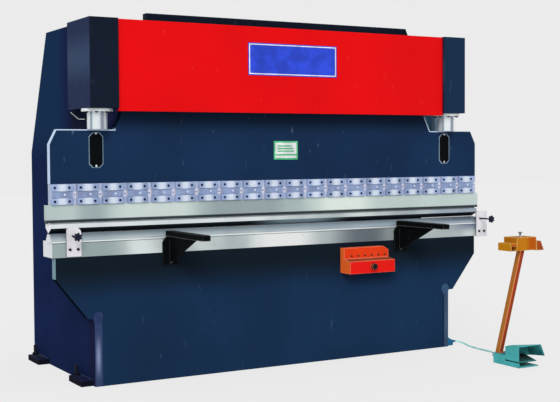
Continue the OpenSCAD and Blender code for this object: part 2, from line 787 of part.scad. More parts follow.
// back gauge behind the bed: rails with end blocks, lead screws, beam and fingers
module gauge_rails() color(steel) at_front() both() {
  w = gauge_w / 2;
  block([gauge_x - w, rail_d, gauge_z - 90], [gauge_x + w, gauge_d, gauge_z - 20]);
  difference() {
    union() {
      block([gauge_x - w + 2, rail_d + 10, gauge_z - 20], [gauge_x + w - 2, rail_d + 34, gauge_z + 50]);
      block([gauge_x - w + 2, gauge_d - 34, gauge_z - 20], [gauge_x + w - 2, gauge_d, gauge_z + 50]);
    }
    rod_y(gauge_x, screw_z, rail_d + 9, gauge_d + 1, lead_d / 2 - 1.95);
  }
}

module gauge_screw() {
  r = lead_d / 2;
  rod_y(0, screw_z, rail_d + 4, gauge_d + 40, r - 2);
  rod_y(0, screw_z, rail_d + 34.3, gauge_d - 34.3, r);
  rod_y(0, screw_z, gauge_d + 6, gauge_d + 30, 34);
}

module gauge_screw_left() color(steel) at_front() translate([-gauge_x, 0, 0]) gauge_screw();

module gauge_screw_right() color(steel) at_front() translate([gauge_x, 0, 0]) gauge_screw();

module gauge_beam() color(steel) at_front() {
  w = gauge_w / 2 - 2;
  both() difference() {
    block([gauge_x - w, beam_y - 20, gauge_z - 19.7], [gauge_x + w, beam_y + beam_t + 20, beam_z]);
    rod_y(gauge_x, screw_z, beam_y - 21, beam_y + beam_t + 21, lead_d / 2 + 0.35);
  }
  block([-beam_l / 2, beam_y, beam_z], [beam_l / 2, beam_y + beam_t, beam_z + beam_h]);
}

module gauge_fingers() color(steel) at_front() both() {
  w = finger_w / 2;
  y1 = beam_y + beam_t - 10;
  z = die_top + 4;
  block([finger_x - w - 12, beam_y + 10, beam_z + beam_h], [finger_x + w + 12, y1, z]);
  block([finger_x - w, rail_d + 34, z], [finger_x + w, y1, z + 16]);
  block([finger_x - w, rail_d + 26, z - 2], [finger_x + w, rail_d + 34, z + 30]);
}

// foot pedal, post and console, linked to the press by a cable
module pedal_base() color(teal) at_front() translate([pedal_x, pedal_y, 0]) {
  difference() {
    block([0, -shell_d, 0], [base_w, 0, base_h]);
    block([5, -shell_d - 1, 10], [base_w - 5, -6, base_h - 6]);
    rod_y(gland_x, plug_z, -7, 1, 10);
  }
  block([0, -base_d, 0], [base_w, -shell_d, 9]);
  block([0, -base_d, 9], [5, -shell_d, 40]);
  translate([base_w / 2, -shell_d - 83, 9]) cylinder(h = 16, r = 13);
  rod_x(4, base_w - 4, hinge_y, hinge_z, 5);
  difference() {
    rod_y(gland_x, plug_z, -6, 26, 17);
    rod_y(gland_x, plug_z, -7, 27, cable_r);
  }
}

// one three cornered panel of the hood, its corners given as points
module hood_panel(a, b, c) hull()
  for (p = [a, b, c])
    translate(p) cube([4, 4, 5]);

module pedal_hood() color(teal) at_front() translate([pedal_x, pedal_y, 0]) {
  y0 = -shell_d;
  y1 = -base_d + 6;
  x1 = base_w + 30;
  yz(0, 5) polygon([[y0, 48], [y0, 157], [y0 - 78, 178], [y1, 174], [y1, 48]]);
  xz(y0 - 4, y0) polygon([[5, base_h], [base_w + 1, base_h], [base_w + 1, 62], [x1 + 30, 62],
    [x1, 132], [x1, 137], [5, 157]]);
  hood_panel([1, y0 - 4, 152], [1, y0 - 80, 173], [x1, y0 - 4, 132]);
  hood_panel([1, y0 - 80, 173], [x1, y0 - 4, 132], [x1, y1, 169]);
  hood_panel([1, y0 - 80, 173], [1, y1, 169], [x1, y1, 169]);
  hood_flap(y0, y1, x1);
}

// slanted free side of the hood
module hood_flap(y0, y1, x1) hull() {
  translate([x1, y0 - 4, 132]) cube([4, 4, 5]);
  translate([x1, y1, 169]) cube([4, 4, 5]);
  translate([x1 + 30, y0 - 4, 62]) cube([4, 4, 4]);
  translate([x1 + 42, y1, 77]) cube([4, 4, 4]);
}

module treadle() color([0.15, 0.50, 0.48]) at_front() translate([pedal_x, pedal_y, 0]) difference() {
  union() {
    rod_x(9, base_w - 9, hinge_y, hinge_z, 11);
    yz(9, base_w - 9) polygon([[hinge_y, 71], [hinge_y - 24, 79], [-base_d + 14, 47],
      [-base_d + 14, 40], [hinge_y - 24, 70], [hinge_y, 56]]);
  }
  rod_x(8, base_w - 8, hinge_y, hinge_z, 5.05);
}

module post() color([0.62, 0.24, 0.10]) at_front() {
  h = (console_z - post_z) / cos(post_lean);
  w = post_w / 2;
  block([post_x - 34, post_y - 34, base_h], [post_x + 34, post_y + 12, post_z]);
  difference() {
    translate([post_x, post_y, post_z]) rotate([post_lean, 0, 0])
      translate([-w, -w, -20]) cube([post_w, post_w, h + 40]);
    block([post_x - 50, post_y - 400, 0], [post_x + 50, post_y + 100, post_z - 1]);
    block([post_x - 50, top_y - 200, console_z], [post_x + 50, top_y + 200, console_z + 100]);
  }
}

// hollow head with a shroud round the push button and a guard at its right
module console_head() color(amber) at_front() translate([console_x, top_y + 14, console_z]) {
  w = head_w / 2;
  d = head_d / 2;
  difference() {
    union() {
      block([-w, -d, 0], [w, d, head_h]);
      yz(-w - 62, -w) translate([-d, -2]) bracket_face(head_d, 62, 25, 4);
    }
    block([-w + 4, -d + 4, 4], [w - 4, d - 4, head_h - 4]);
    yz(-w - 58, -w - 2) translate([4 - d, 2]) bracket_face(head_d - 8, 54, 21, 3);
    block([-w - 58, -d - 1, 2], [-w - 2, -d + 5, 34]);
    translate([0, 0, head_h - 5]) cylinder(h = 6, r = 7);
    rod_x(-w - 5, -w + 5, 22, 26, 9);
  }
  xz(-d - 6, -20) polygon([[w, -4], [w + 76, -4], [w + 43, 72], [w, 72]]);
}

module stop_button() color([0.75, 0.75, 0.76]) at_front()
  translate([console_x, top_y + 14, console_z + head_h]) {
    translate([0, 0, -10]) cylinder(h = 38, r = 6.7);
    translate([0, 0, 28]) cylinder(h = 12, r = 16);
  }

module push_button() color([0.60, 0.10, 0.05]) at_front()
  translate([console_x - head_w / 2, top_y + 36, console_z + 26]) {
    rod_x(-17, 11, 0, 0, 8.7);
    rod_x(-29, -17, 0, 0, 16);
  }

module cable_outlet() color([0.12, 0.40, 0.60]) at_front() translate([side_x, outlet_y, outlet_z])
  difference() {
    union() {
      xz(-20, 20) polygon([[0, 6 - outlet_z], [outlet_l, 6 - outlet_z], [outlet_l, 14], [0, 46]]);
      rod_x(outlet_l, outlet_l + 10, 0, 0, 12);
      translate([outlet_l + 10, 0, 0]) rotate([0, 90, 0]) cylinder(h = 32, r1 = 11, r2 = cable_r + 2);
    }
    rod_x(20, outlet_l + 43, 0, 0, cable_r);
  }

// centre line of the cable from the outlet to the pedal, resting on the floor
cable_pts = [[side_x + outlet_l, outlet_y, outlet_z], [side_x + 80, outlet_y, outlet_z],
  [side_x + 109, 18, 36], [side_x + 133, 2, 31], [side_x + 149, -22, 23],
  [side_x + 155, -53, 15], [side_x + 152, -100, cable_r + 1.2],
  [side_x + 140, -165, cable_r + 0.6], [side_x + 129, -235, cable_r + 0.6],
  [side_x + 123, -310, cable_r + 0.6], [side_x + 123, -385, cable_r + 0.6],
  [side_x + 118, -460, cable_r + 0.6], [side_x + 90, -530, cable_r + 0.6],
  [side_x + 40, -590, cable_r + 2], [pedal_x + 148, pedal_y + 165, 16],
  [pedal_x + 106, pedal_y + 126, 30], [pedal_x + 72, pedal_y + 88, 46],
  [pedal_x + 53, pedal_y + 54, 55], [pedal_x + gland_x + 1, pedal_y + 26, plug_z],
  [pedal_x + gland_x, pedal_y + 4, plug_z]];

function bend(a, b, c, d, t) = 0.5 * ((2 * b) + (c - a) * t
  + (2 * a - 5 * b + 4 * c - d) * t * t + (3 * b - a - 3 * c + d) * t * t * t);

function smooth(p, n) = let (m = len(p)) [for (i = [0:m - 2]) for (k = [0:n - 1])
  bend(p[max(i - 1, 0)], p[i], p[i + 1], p[min(i + 2, m - 1)], k / n), p[m - 1]];

function unit(v) = v / norm(v);

module cable() color([0.58, 0.90, 0.84]) at_front() {
  p = smooth(cable_pts, 3);
  n = len(p);
  k = 10;
  v = [for (i = [0:n - 1]) let (t = unit(p[min(i + 1, n - 1)] - p[max(i - 1, 0)]),
    s = unit(cross(t, [0, 0, 1])), u = cross(s, t)) for (j = [0:k - 1])
      p[i] + cable_r * (cos(360 * j / k) * s + sin(360 * j / k) * u)];
  f = [for (i = [0:n - 2]) for (j = [0:k - 1])
    [i * k + j, i * k + (j + 1) % k, (i + 1) * k + (j + 1) % k, (i + 1) * k + j]];
  polyhedron(v, concat(f, [[for (j = [0:k - 1]) k - 1 - j]], [[for (j = [0:k - 1]) (n - 1) * k + j]]));
}

side_frame_left();
side_frame_right();
bed_plate();
bed_web();
tie_beam();
floor_pads();
levelling_bolts();
oil_tank();
tank_lid();
motor_pump();
valve_block();
oil_pipes();
cylinders();
gland_rings();
gland_bolts();
housing_covers();
front_cover();
roof_plate();
top_cover();
name_plate();
guide_liners();
guide_keepers();
shaft_bearings();
die_rail();
die();
end_brackets();
bracket_screws();
tool_box();
gauge_rails();
pedal_base();
pedal_hood();
post();
console_head();
cable_outlet();
cable();
ram();
piston_rods();
sign_plate();
window_covers();
window_screws();
clamp_bodies();
clamp_plates();
clamp_wedges();
upper_screws();
lower_screws();
punch_holder();
punch();
torsion_shaft();
gauge_beam();
gauge_fingers();
gauge_screw_left();
gauge_screw_right();
arm_left();
arm_right();
knob_left();
knob_right();
drawer();
treadle();
stop_button();
push_button();
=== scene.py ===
"""Looks of the hydraulic press brake: its finishes, fittings, cable and stage.

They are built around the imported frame. Everything is in metres, in the frame's own
coordinates: X along the table, Y towards the rear, Z up.
"""

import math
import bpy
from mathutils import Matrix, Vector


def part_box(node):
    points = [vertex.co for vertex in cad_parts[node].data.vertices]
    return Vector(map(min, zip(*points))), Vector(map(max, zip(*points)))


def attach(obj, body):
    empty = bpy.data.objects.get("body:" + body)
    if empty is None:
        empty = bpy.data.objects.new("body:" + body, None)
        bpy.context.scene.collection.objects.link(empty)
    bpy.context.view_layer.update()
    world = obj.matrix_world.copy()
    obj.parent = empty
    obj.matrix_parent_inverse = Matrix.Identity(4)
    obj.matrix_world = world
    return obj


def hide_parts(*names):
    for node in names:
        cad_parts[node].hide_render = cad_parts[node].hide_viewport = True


bl_info = {
    "name": "Hydraulic press brake",
    "version": (1, 0, 0),
    "blender": (4, 5, 0),
    "location": "View3D > Sidebar > Press brake",
    "description": "Builds the finishes, fittings, cable and stage of a hydraulic press brake",
    "category": "Object",
}

from collections import namedtuple
from functools import cache

import bmesh
import bpy
from bpy.props import FloatProperty, FloatVectorProperty, PointerProperty
from mathutils import Matrix, Vector

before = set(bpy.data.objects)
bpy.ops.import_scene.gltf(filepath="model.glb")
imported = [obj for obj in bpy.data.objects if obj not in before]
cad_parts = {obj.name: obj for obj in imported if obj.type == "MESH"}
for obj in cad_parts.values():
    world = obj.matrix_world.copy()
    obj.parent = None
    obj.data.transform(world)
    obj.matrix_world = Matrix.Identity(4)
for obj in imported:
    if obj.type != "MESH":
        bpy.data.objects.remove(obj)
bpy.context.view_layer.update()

TURN = 2 * math.pi
LEFT, RIGHT = (-1, 0, 0), (1, 0, 0)
FRONT, BACK = (0, -1, 0), (0, 1, 0)
DOWN, UP = (0, 0, -1), (0, 0, 1)

CLAMP_PITCH = 0.2  # from one tool clamp to the next
MANIFOLD = 0.130  # height of the valve block under its valves


# ---------------------------------------------------------------- settings


def colour(name, description, red, green, blue):
    """A colour setting, given as it looks on a display from 0 to 255."""
    return FloatVectorProperty(
        name=name,
        description=description,
        subtype="COLOR_GAMMA",
        size=3,
        min=0,
        max=1,
        default=(red / 255, green / 255, blue / 255),
    )


def length(name, description, millimetres):
    """A length setting, given in millimetres and kept in metres."""
    return FloatProperty(
        name=name, description=description, unit="LENGTH", min=0, default=millimetres / 1000
    )


class PressPaints(bpy.types.PropertyGroup):
    """Colours of the press and its pedal station."""

    bed: colour("Bed", "Paint on the front of the bed", 25, 48, 77)
    # Painted shadow: the bed's paint darkened under the table's overhang, also laid as painted
    # shade on the ram's top under the covers.
    bed_shade: colour("Bed under the table", "Bed paint just under the table", 20, 29, 37)
    ram: colour("Ram", "Paint on the ram", 25, 47, 78)
    side: colour("Side frames", "Paint on the side frames", 25, 37, 73)
    # Painted highlight: the lighter colour of the welded strips down the side frames' front edges.
    side_front_highlight: colour("Side frame fronts", "Ground front edges of the side frames", 60, 76, 116)
    housing: colour("Housings", "Paint on the cylinder housings", 21, 28, 42)
    navy_edge: colour("Worn navy", "Navy paint where edges are rubbed", 92, 108, 148)
    cover: colour("Cover", "Red of the long front cover", 224, 13, 17)
    cover_edge: colour("Cover edges", "Red paint where edges are rubbed", 244, 92, 80)
    tool_box: colour("Tool box", "Orange red of the tool box", 222, 62, 26)
    drawer: colour("Drawer", "Red of the tool box drawer", 218, 28, 24)
    # Rubbed edges, raised into painted highlights along the tool box's and drawer's edges.
    box_wear_and_highlight: colour("Tool box edges", "Rubbed edges of the tool box", 248, 158, 122)
    plate: colour("Name plate", "Blue field of the bare name plate", 45, 72, 205)
    sign: colour("Sign", "Green of the bare sign on the ram", 84, 190, 130)
    white: colour("Plate white", "White borders and fields of the plates", 232, 238, 240)
    ground: colour("Ground steel", "Ground faces of the tools and the table", 214, 224, 222)
    ground_dark: colour("Ground steel, dull", "Duller patches of ground steel", 172, 184, 186)
    clamp: colour("Clamp plates", "Pale plates of the tool clamps", 164, 186, 226)
    # Painted highlight in the middle of each clamp plate.
    clamp_highlight: colour("Clamp plates, bright", "Bright middles of the clamps", 228, 237, 250)
    clamp_row: colour("Clamp wedges", "Recessed wedges between the clamp plates", 150, 168, 208)
    screw: colour("Blackened screws", "Cap screws of the clamps", 34, 40, 76)
    dark: colour("Black parts", "Support arms, feet and levelling bolts", 11, 14, 16)
    # Rubbed edges of the black parts, raised into painted highlight lines on the arms.
    dark_wear_and_highlight: colour("Black edges", "Rubbed edges of the black parts", 176, 172, 178)
    bracket: colour("Brackets", "Pale end brackets", 236, 234, 240)
    machined: colour("Machined steel", "Turned and milled steel", 150, 156, 160)
    chrome: colour("Chrome", "Plated piston rods", 232, 240, 244)
    bronze: colour("Bronze", "Sliding liners behind the ram", 172, 126, 62)
    motor: colour("Motor", "Grey of the pump motor", 96, 104, 112)
    knob: colour("Knobs", "Black moulded knobs", 22, 26, 46)
    head: colour("Console", "Amber of the console head", 178, 112, 23)
    # Painted highlight along the console's edges and its front corner.
    head_highlight: colour("Console edges", "Rubbed edges of the console", 252, 214, 130)
    head_side: colour("Console guard", "Darker guard beside the console", 156, 72, 30)
    post: colour("Post", "Rust red of the leaning post", 156, 60, 30)
    # Painted highlight down the post's front corner and along its edges.
    post_highlight: colour("Post edges", "Pale front corner of the post", 240, 150, 104)
    pedal: colour("Pedal", "Teal of the pedal's housing", 79, 182, 184)
    pedal_dark: colour("Treadle", "Dark teal of the treadle", 38, 116, 110)
    button: colour("Stop button", "Grey cap of the stop button", 110, 106, 120)
    push: colour("Push button", "Red cap of the push button", 168, 30, 16)
    outlet: colour("Cable outlet", "Blue of the cable's outlet box", 30, 100, 142)
    cable: colour("Cable", "Pale aqua sheath of the cable", 166, 232, 228)
    backdrop: colour("Backdrop", "Pale floor and backdrop", 235, 235, 235)


class PressSizes(bpy.types.PropertyGroup):
    """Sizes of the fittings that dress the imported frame."""

    # Width of the edge band, which is rubbed paint on most finishes and painted highlight on
    # others.
    edge_band_width: length("Edge wear", "Width of the rubbed band along painted edges", 5)
    weld: length("Weld", "Leg of the weld seams", 9)
    cable: length("Cable", "Diameter of the pedal cable", 14)
    lead: length("Lead", "Travel of the back gauge for one turn of its screws", 20)
    bolt_pitch: length("Bolt pitch", "Thread pitch of the levelling bolts", 4)
    plate_rim: length("Plate rim", "Width of the name plate's pale border", 8)


class PressStage(bpy.types.PropertyGroup):
    """Light and lens."""

    sky: FloatProperty(name="Sky", description="Strength of the even light", min=0, default=0.62)
    sun: FloatProperty(name="Sun", description="Strength of the soft lamp", min=0, default=1.7)
    lens: FloatProperty(
        name="Lens", description="Focal length", subtype="DISTANCE_CAMERA", default=71.693
    )


# ---------------------------------------------------------------- finishes


def linear(rgb):
    """A display colour as the light that shaders work with."""
    return tuple(c / 12.92 if c <= 0.04045 else ((c + 0.055) / 1.055) ** 2.4 for c in rgb)


def toned(rgb, share):
    """A colour made lighter or darker."""
    return tuple(min(1.0, c * share) for c in rgb)


class Link:
    """A shader socket that takes part in arithmetic."""

    def __init__(self, finish, socket):
        self.finish = finish
        self.socket = socket

    def math(self, operation, *terms, clamp=False):
        return self.finish.add(
            "ShaderNodeMath", {"operation": operation, "use_clamp": clamp}, dict(enumerate(terms)))

    def __add__(self, other):
        return self.math("ADD", self, other)

    def __sub__(self, other):
        return self.math("SUBTRACT", self, other)

    def __rsub__(self, other):
        return self.math("SUBTRACT", other, self)

    def __mul__(self, other):
        return self.math("MULTIPLY", self, other)

    def __truediv__(self, other):
        return self.math("DIVIDE", self, other)

    __radd__ = __add__
    __rmul__ = __mul__

    def size(self):
        """Without its sign."""
        return self.math("ABSOLUTE", self)

    def part(self):
        """What is left after the whole number."""
        return self.math("FRACT", self)

    def held(self):
        """Kept between 0 and 1."""
        return self.math("ADD", self, 0.0, clamp=True)

    def near(self, centre, far, close):
        """1 up to close from the centre, and 0 from far on."""
        return (self - centre).size().ramp(far, close)

    def ramp(self, low, high):
        """0 below low and 1 above high, or the other way round, with a soft step between."""
        return self.finish.add(
            "ShaderNodeMapRange",
            {"interpolation_type": "SMOOTHSTEP"},
            {"Value": self, "From Min": low, "From Max": high, "To Min": 0.0, "To Max": 1.0},
        )


Axes = namedtuple("Axes", "x y z")


class Nodes:
    """A node tree under construction."""

    def __init__(self, tree):
        self.tree = tree
        tree.nodes.clear()

    def add(self, kind, settings=None, sockets=None, out=0):
        """One node: its type, its settings, its sockets' values or links, and its output."""
        node = self.tree.nodes.new(kind)
        for key, value in (settings or {}).items():
            setattr(node, key, value)
        for key, value in (sockets or {}).items():
            if isinstance(value, Link):
                self.tree.links.new(value.socket, node.inputs[key])
            else:
                node.inputs[key].default_value = value
        return Link(self, node.outputs[out])

    def end(self, kind, shader):
        """Ends the tree in its output node."""
        output = self.tree.nodes.new(kind)
        self.tree.links.new(shader.socket, output.inputs["Surface"])


class Finish(Nodes):
    """A material under construction. Its places are the piece's own, so it travels with it."""

    def __init__(self, name):
        self.material = bpy.data.materials.new(name)
        self.material.use_nodes = True
        super().__init__(self.material.node_tree)
        self.paints = paints()
        self.place = self.add("ShaderNodeTexCoord", out="Object")
        self.facing = self.add("ShaderNodeTexCoord", out="Normal")
        self.at = self.axes(self.place)
        self.face = self.axes(self.facing)

    def axes(self, vector):
        """The X, Y and Z of a vector."""
        split = self.add("ShaderNodeSeparateXYZ", {}, {0: vector}).socket.node
        return Axes(*(Link(self, socket) for socket in split.outputs))

    def vector(self, operation, first, second, out=0):
        return self.add(
            "ShaderNodeVectorMath", {"operation": operation}, {0: first, 1: second}, out)

    def noise(self, scale, detail=3.0, stretch=None):
        """Soft noise, with so many blotches a metre."""
        place = self.place
        if stretch:
            place = self.vector("MULTIPLY", place, stretch)
        return self.add(
            "ShaderNodeTexNoise", {}, {"Vector": place, "Scale": scale, "Detail": detail})

    def mix(self, factor, first, second):
        """Colour first where factor is 0, second where it is 1."""
        pair = {
            key: value if isinstance(value, Link) else (*linear(value), 1.0)
            for key, value in ((6, first), (7, second))
        }
        return self.add("ShaderNodeMix", {"data_type": "RGBA"}, {0: factor, **pair}, out=2)

    def over(self, base, marks):
        """The base under marks, each a factor and a colour, laid one after the other."""
        for factor, rgb in marks(self) if marks else ():
            base = self.mix(factor, base, rgb)
        return base

    def edge(self, width):
        """1 along edges and 0 on flats, and the rounded normal."""
        rounded = self.add("ShaderNodeBevel", {"samples": 4}, {"Radius": width})
        flat = self.add("ShaderNodeNewGeometry", out="Normal")
        cosine = self.vector("DOT_PRODUCT", rounded, flat, "Value")
        return ((1 - cosine) * 5).held(), rounded

    def done(self, base, roughness, shine, relief, depth, normal, metallic=0.0):
        """Ends in the shader, over the bumps of a relief so deep."""
        bump = self.add("ShaderNodeBump", {}, {
            "Strength": 0.6, "Distance": depth, "Height": relief, "Normal": normal})
        shader = self.add("ShaderNodeBsdfPrincipled", {}, {
            "Base Color": base, "Roughness": roughness, "Metallic": metallic,
            "Specular IOR Level": shine, "Normal": bump})
        self.end("ShaderNodeOutputMaterial", shader)
        return self.material


def paints():
    """The colour settings."""
    return bpy.context.scene.press_paints


def sizes():
    """The size settings."""
    return bpy.context.scene.press_sizes


def painted(name, rgb, edge_colour, gloss=0.42, wear=0.6, drift=0.07, width=None, shine=0.012,
            marks=None):
    """Sprayed enamel: slow drift of tone, orange peel, scuffs, dust on top and an edge band. The
    edge band is rubbed paint, raised into painted highlights on the console, post, tool box,
    drawer and arms and darkened into painted shade on the pedal. marks gives the finish its own
    marks, painted light and shade among them, which lie under all that."""
    f = Finish(name)
    rubbed, rounded = f.edge(width or sizes().edge_band_width)
    slow = f.noise(1.1, 3)
    base = f.mix(slow.ramp(0.3, 0.7), toned(rgb, 1 - drift), toned(rgb, 1 + drift))
    base = f.over(base, marks)
    scuffs = f.noise(23, 6, (1, 1, 0.35)).ramp(0.66, 0.78)
    base = f.mix(scuffs * 0.16, base, edge_colour)
    dust = f.face.z.ramp(0.6, 1.0) * f.noise(6, 4).ramp(0.35, 0.7)
    base = f.mix(dust * 0.10, base, (0.62, 0.62, 0.60))
    chips = f.noise(60, 4).ramp(0.25, 0.6)
    base = f.mix(rubbed * (chips * 0.4 + 0.6) * (wear(f) if callable(wear) else wear), base, edge_colour)
    rough = f.noise(14, 4) * 0.16 + (gloss - 0.08) + scuffs * 0.1 + dust * 0.12
    peel = f.noise(420, 2) + f.noise(90, 2) * 0.6
    return f.done(base, rough, shine, peel, 0.0004, rounded)


def bare(name, rgb, dull=None, gloss=0.34, metal=0.75, grain=(0.03, 1, 1), patch=2.4,
         marks=None, shade=None):
    """Bare steel: soft bright and dull patches, fine machining lines and bright edges. marks, the
    painted reflections, light and shade of each steel, lie under the lines, and shade, more
    painted light and shade, lies over everything."""
    dull = dull or toned(rgb, 0.86)
    f = Finish(name)
    rubbed, rounded = f.edge(0.003)
    patches = f.noise(patch, 2, (1, 0.4, 0.6)).ramp(0.34, 0.66)
    base = f.over(f.mix(patches, dull, rgb), marks)
    lines = f.noise(700, 2, grain)
    base = f.mix(lines.ramp(0.3, 0.7) * 0.22, base, dull)
    stains = f.noise(17, 5).ramp(0.62, 0.8)
    base = f.mix(stains * 0.14, base, toned(dull, 0.6))
    base = f.over(f.mix(rubbed * 0.45, base, toned(rgb, 1.12)), shade)
    rough = lines * 0.16 + (gloss - 0.08) + stains * 0.12
    return f.done(base, rough, 0.1, lines, 0.00015, rounded, metal)


def moulded(name, rgb, gloss=0.45, light=1.5, scale=650):
    """Moulded plastic or rubber: fine texture, slight fading and pale corners."""
    f = Finish(name)
    rubbed, rounded = f.edge(0.002)
    fade = f.noise(9, 3).ramp(0.3, 0.7)
    base = f.mix(fade, toned(rgb, 0.9), toned(rgb, 1.08))
    base = f.mix(rubbed * 0.4, base, toned(rgb, light))
    grain = f.noise(scale, 2)
    return f.done(base, grain * 0.14 + (gloss - 0.07), 0.12, grain, 0.0002, rounded)


def bed_marks(f):
    """Painted shade under the table and on the undersides, and painted light on the left end."""
    return [
        (f.at.z.ramp(0.60, 0.90) * 0.96, f.paints.bed_shade),
        (f.face.z.ramp(-0.2, -0.5) * 0.98, (0.05, 0.07, 0.10)),
        (f.face.x.ramp(-0.85, -0.95) * f.at.z.ramp(0.80, 0.84) * 0.9, (0.50, 0.62, 0.67)),
    ]


def ram_marks(f):
    """Painted shade darkening the top under the covers, and painted highlights on the left face,
    the shoulders and the slope of the right neck.
    """
    x, _, z = f.at
    left_face = f.face.x.ramp(-0.5, -0.8) * x.ramp(-1.90, -1.92)
    shoulder = x.size().ramp(1.480, 1.488) * z.ramp(1.9305, 1.9335) * x.ramp(1.68, 1.62)
    neck = (x.size() + z * 0.476 - 2.4114).ramp(-0.013, -0.009)
    slope = neck * z.ramp(1.934, 1.942) * z.ramp(2.09, 2.02) * x.ramp(0, 1)
    return [
        (z.ramp(1.86, 2.12) * 0.6, f.paints.bed_shade),
        ((left_face + shoulder + slope).held(), (0.76, 0.84, 0.94)),
    ]


def side_marks(f):
    """Painted light and shade on the big face, the welded strip, its boss and the cylinders'
    seats.
    """
    x, y, z = f.at
    high = z.ramp(1.65, 2.00) * 0.9
    low = y.ramp(-0.48, -0.66) * z.ramp(0.75, 0.50)
    on_right = x.ramp(0, 1)
    strip = y.ramp(-0.7085, -0.7095) * z.ramp(0.50, 0.47)
    glow = x.size().near(1.650, 0.028, 0.004) * z.near(0.225, 0.20, 0.0)
    boss = y.ramp(-0.690, -0.698) * z.ramp(0.47, 0.50)
    seat = f.face.x.ramp(0.5, 0.2) * on_right * y.ramp(-0.35, -0.45) * z.ramp(1.86, 1.92)
    return [
        # painted light towards the rear and painted shade towards the front, high up
        (y.ramp(-0.18, 0.16) * high, (0.100, 0.195, 0.315)),
        (y.ramp(-0.02, -0.36) * high, (0.100, 0.105, 0.165)),
        # painted shade low down at the front
        (low * 0.6, (0.110, 0.105, 0.190)),
        # painted highlight on the strip, brightest in its middle, and painted light on its boss
        (strip * 0.66, f.paints.side_front_highlight),
        (strip * glow * 0.62, (0.58, 0.63, 0.78)),
        (strip * on_right * 0.9, (0.215, 0.310, 0.400)),
        (strip * on_right * x.ramp(1.636, 1.626), (0.080, 0.140, 0.235)),
        (boss * 0.6, (0.20, 0.265, 0.44)),
        (boss * on_right * 0.9, (0.22, 0.34, 0.47)),
        # painted light inside the right frame's shaded seats
        (seat, (0.75, 0.86, 0.95)),
    ]


def housing_marks(f):
    """Painted light, bluer towards the right and lighter on the outer sides, with a painted
    highlight across the outer sides.
    """
    side = f.face.x.size().ramp(0.5, 0.9)
    return [
        (f.at.x.ramp(-0.5, 0.5) * 0.9, (0.100, 0.190, 0.290)),
        (side * 0.9, (0.115, 0.170, 0.310)),
        (side * f.at.z.near(2.47, 0.22, 0.02) * 0.7, (0.215, 0.290, 0.410)),
    ]


def tank_marks(f):
    """Painted light on the front, which lies in the shade between the frames."""
    # the painted light, paler towards the right
    shade = f.mix(f.at.x.ramp(-1, 1), (0.38, 0.42, 0.72), (0.45, 0.68, 0.80))
    return [(f.face.y.ramp(-0.5, -0.8) * 0.95, shade)]


def cover_marks(f):
    """A dark right edge, painted shade."""
    return [(f.at.x.ramp(1.506, 1.514) * 0.8, (0.28, 0.03, 0.05))]


def box_marks(f):
    """Painted light on the left side and on the pale shelf, which is dark along its slots."""
    shelf = f.face.z.ramp(0.5, 0.9) * f.at.z.ramp(0.92, 0.90)
    return [
        (f.face.x.ramp(-0.5, -0.9) * 0.9, (1.0, 0.44, 0.17)),
        (shelf * 0.6, (0.96, 0.55, 0.36)),
        (shelf * f.at.y.near(-0.815, 0.042, 0.030) * 0.85, (0.50, 0.20, 0.07)),
    ]


def arm_wear_and_highlights(f):
    """Edge wear, with painted highlight lines along the arms' top edges and the seam of the web.
    """
    _, y, z = f.at
    seam = y.ramp(-0.724, -0.729) * y.ramp(-0.775, -0.750) * z.ramp(1.130, 1.110)
    return (seam * 1.3 + z.near(1.118, 0.014, 0.004) * 0.9 + 0.1).held()


def foot_marks(f):
    """Painted light: bluer where the feet face up."""
    return [(f.face.z.ramp(0.6, 0.95) * 0.9, (0.115, 0.130, 0.270))]


def left_end(f, rgb=(0.94, 0.95, 0.97)):
    """Painted light on the left end of a long bar."""
    return f.face.x.ramp(-0.6, -0.9) * 0.9, rgb


def rail_marks(f):
    """Painted reflections in bright and dull stretches along the table, a painted highlight on its
    pale top edge, and painted light on its left end.
    """
    x, _, z = f.at
    return [
        (x.ramp(-1.30, -1.62) * 0.85, (0.57, 0.64, 0.64)),
        (x.near(-1.16, 0.32, 0.08) * 0.75, (0.93, 0.97, 0.97)),
        (x.near(0.76, 0.42, 0.06) * 0.95, (0.31, 0.37, 0.41)),
        (x.near(-0.03, 0.42, 0.12) * 0.9, (0.96, 0.96, 0.96)),
        (x.ramp(1.50, 1.98) * z.ramp(1.01, 1.09) * 0.9, (0.36, 0.42, 0.54)),
        (z.ramp(1.099, 1.101) * 0.9, (0.95, 0.97, 0.98)),
        left_end(f),
    ]


def punch_marks(f):
    """Painted reflection: brighter towards the left, duller towards the right."""
    return [
        (f.at.x.ramp(0.2, -0.6) * 0.6, (0.92, 0.94, 0.97)),
        (f.at.x.ramp(0.8, 1.9) * 0.8, (0.52, 0.58, 0.66)),
    ]


def punch_shade(f):
    """Painted shade on the dark slopes over the die, with the table's light painted back into
    their middle, painted shade on the top faces and painted light on the left end.
    """
    down = f.face.z.ramp(-0.15, -0.6)
    return [
        (down, (0.03, 0.06, 0.10)),
        (down * f.at.x.near(0.15, 0.50, 0.10) * 0.85, (0.60, 0.70, 0.74)),
        (f.face.z.ramp(0.4, 0.8) * 0.95, (0.09, 0.13, 0.15)),
        left_end(f, (0.96, 0.97, 0.98)),
    ]


def die_marks(f):
    """Painted shade and reflection: duller up the slope towards the punch and towards the right,
    and painted light on the left end.
    """
    x, _, z = f.at
    return [
        (z.ramp(1.108, 1.112) * 0.5, (0.60, 0.67, 0.71)),
        (z.ramp(1.112, 1.160) * 0.8, (0.45, 0.52, 0.57)),
        (x.ramp(0.0, 0.6) * 0.5, (0.55, 0.61, 0.68)),
        (x.ramp(1.2, 1.9) * z.ramp(1.115, 1.150) * 0.8, (0.22, 0.29, 0.38)),
        left_end(f),
    ]


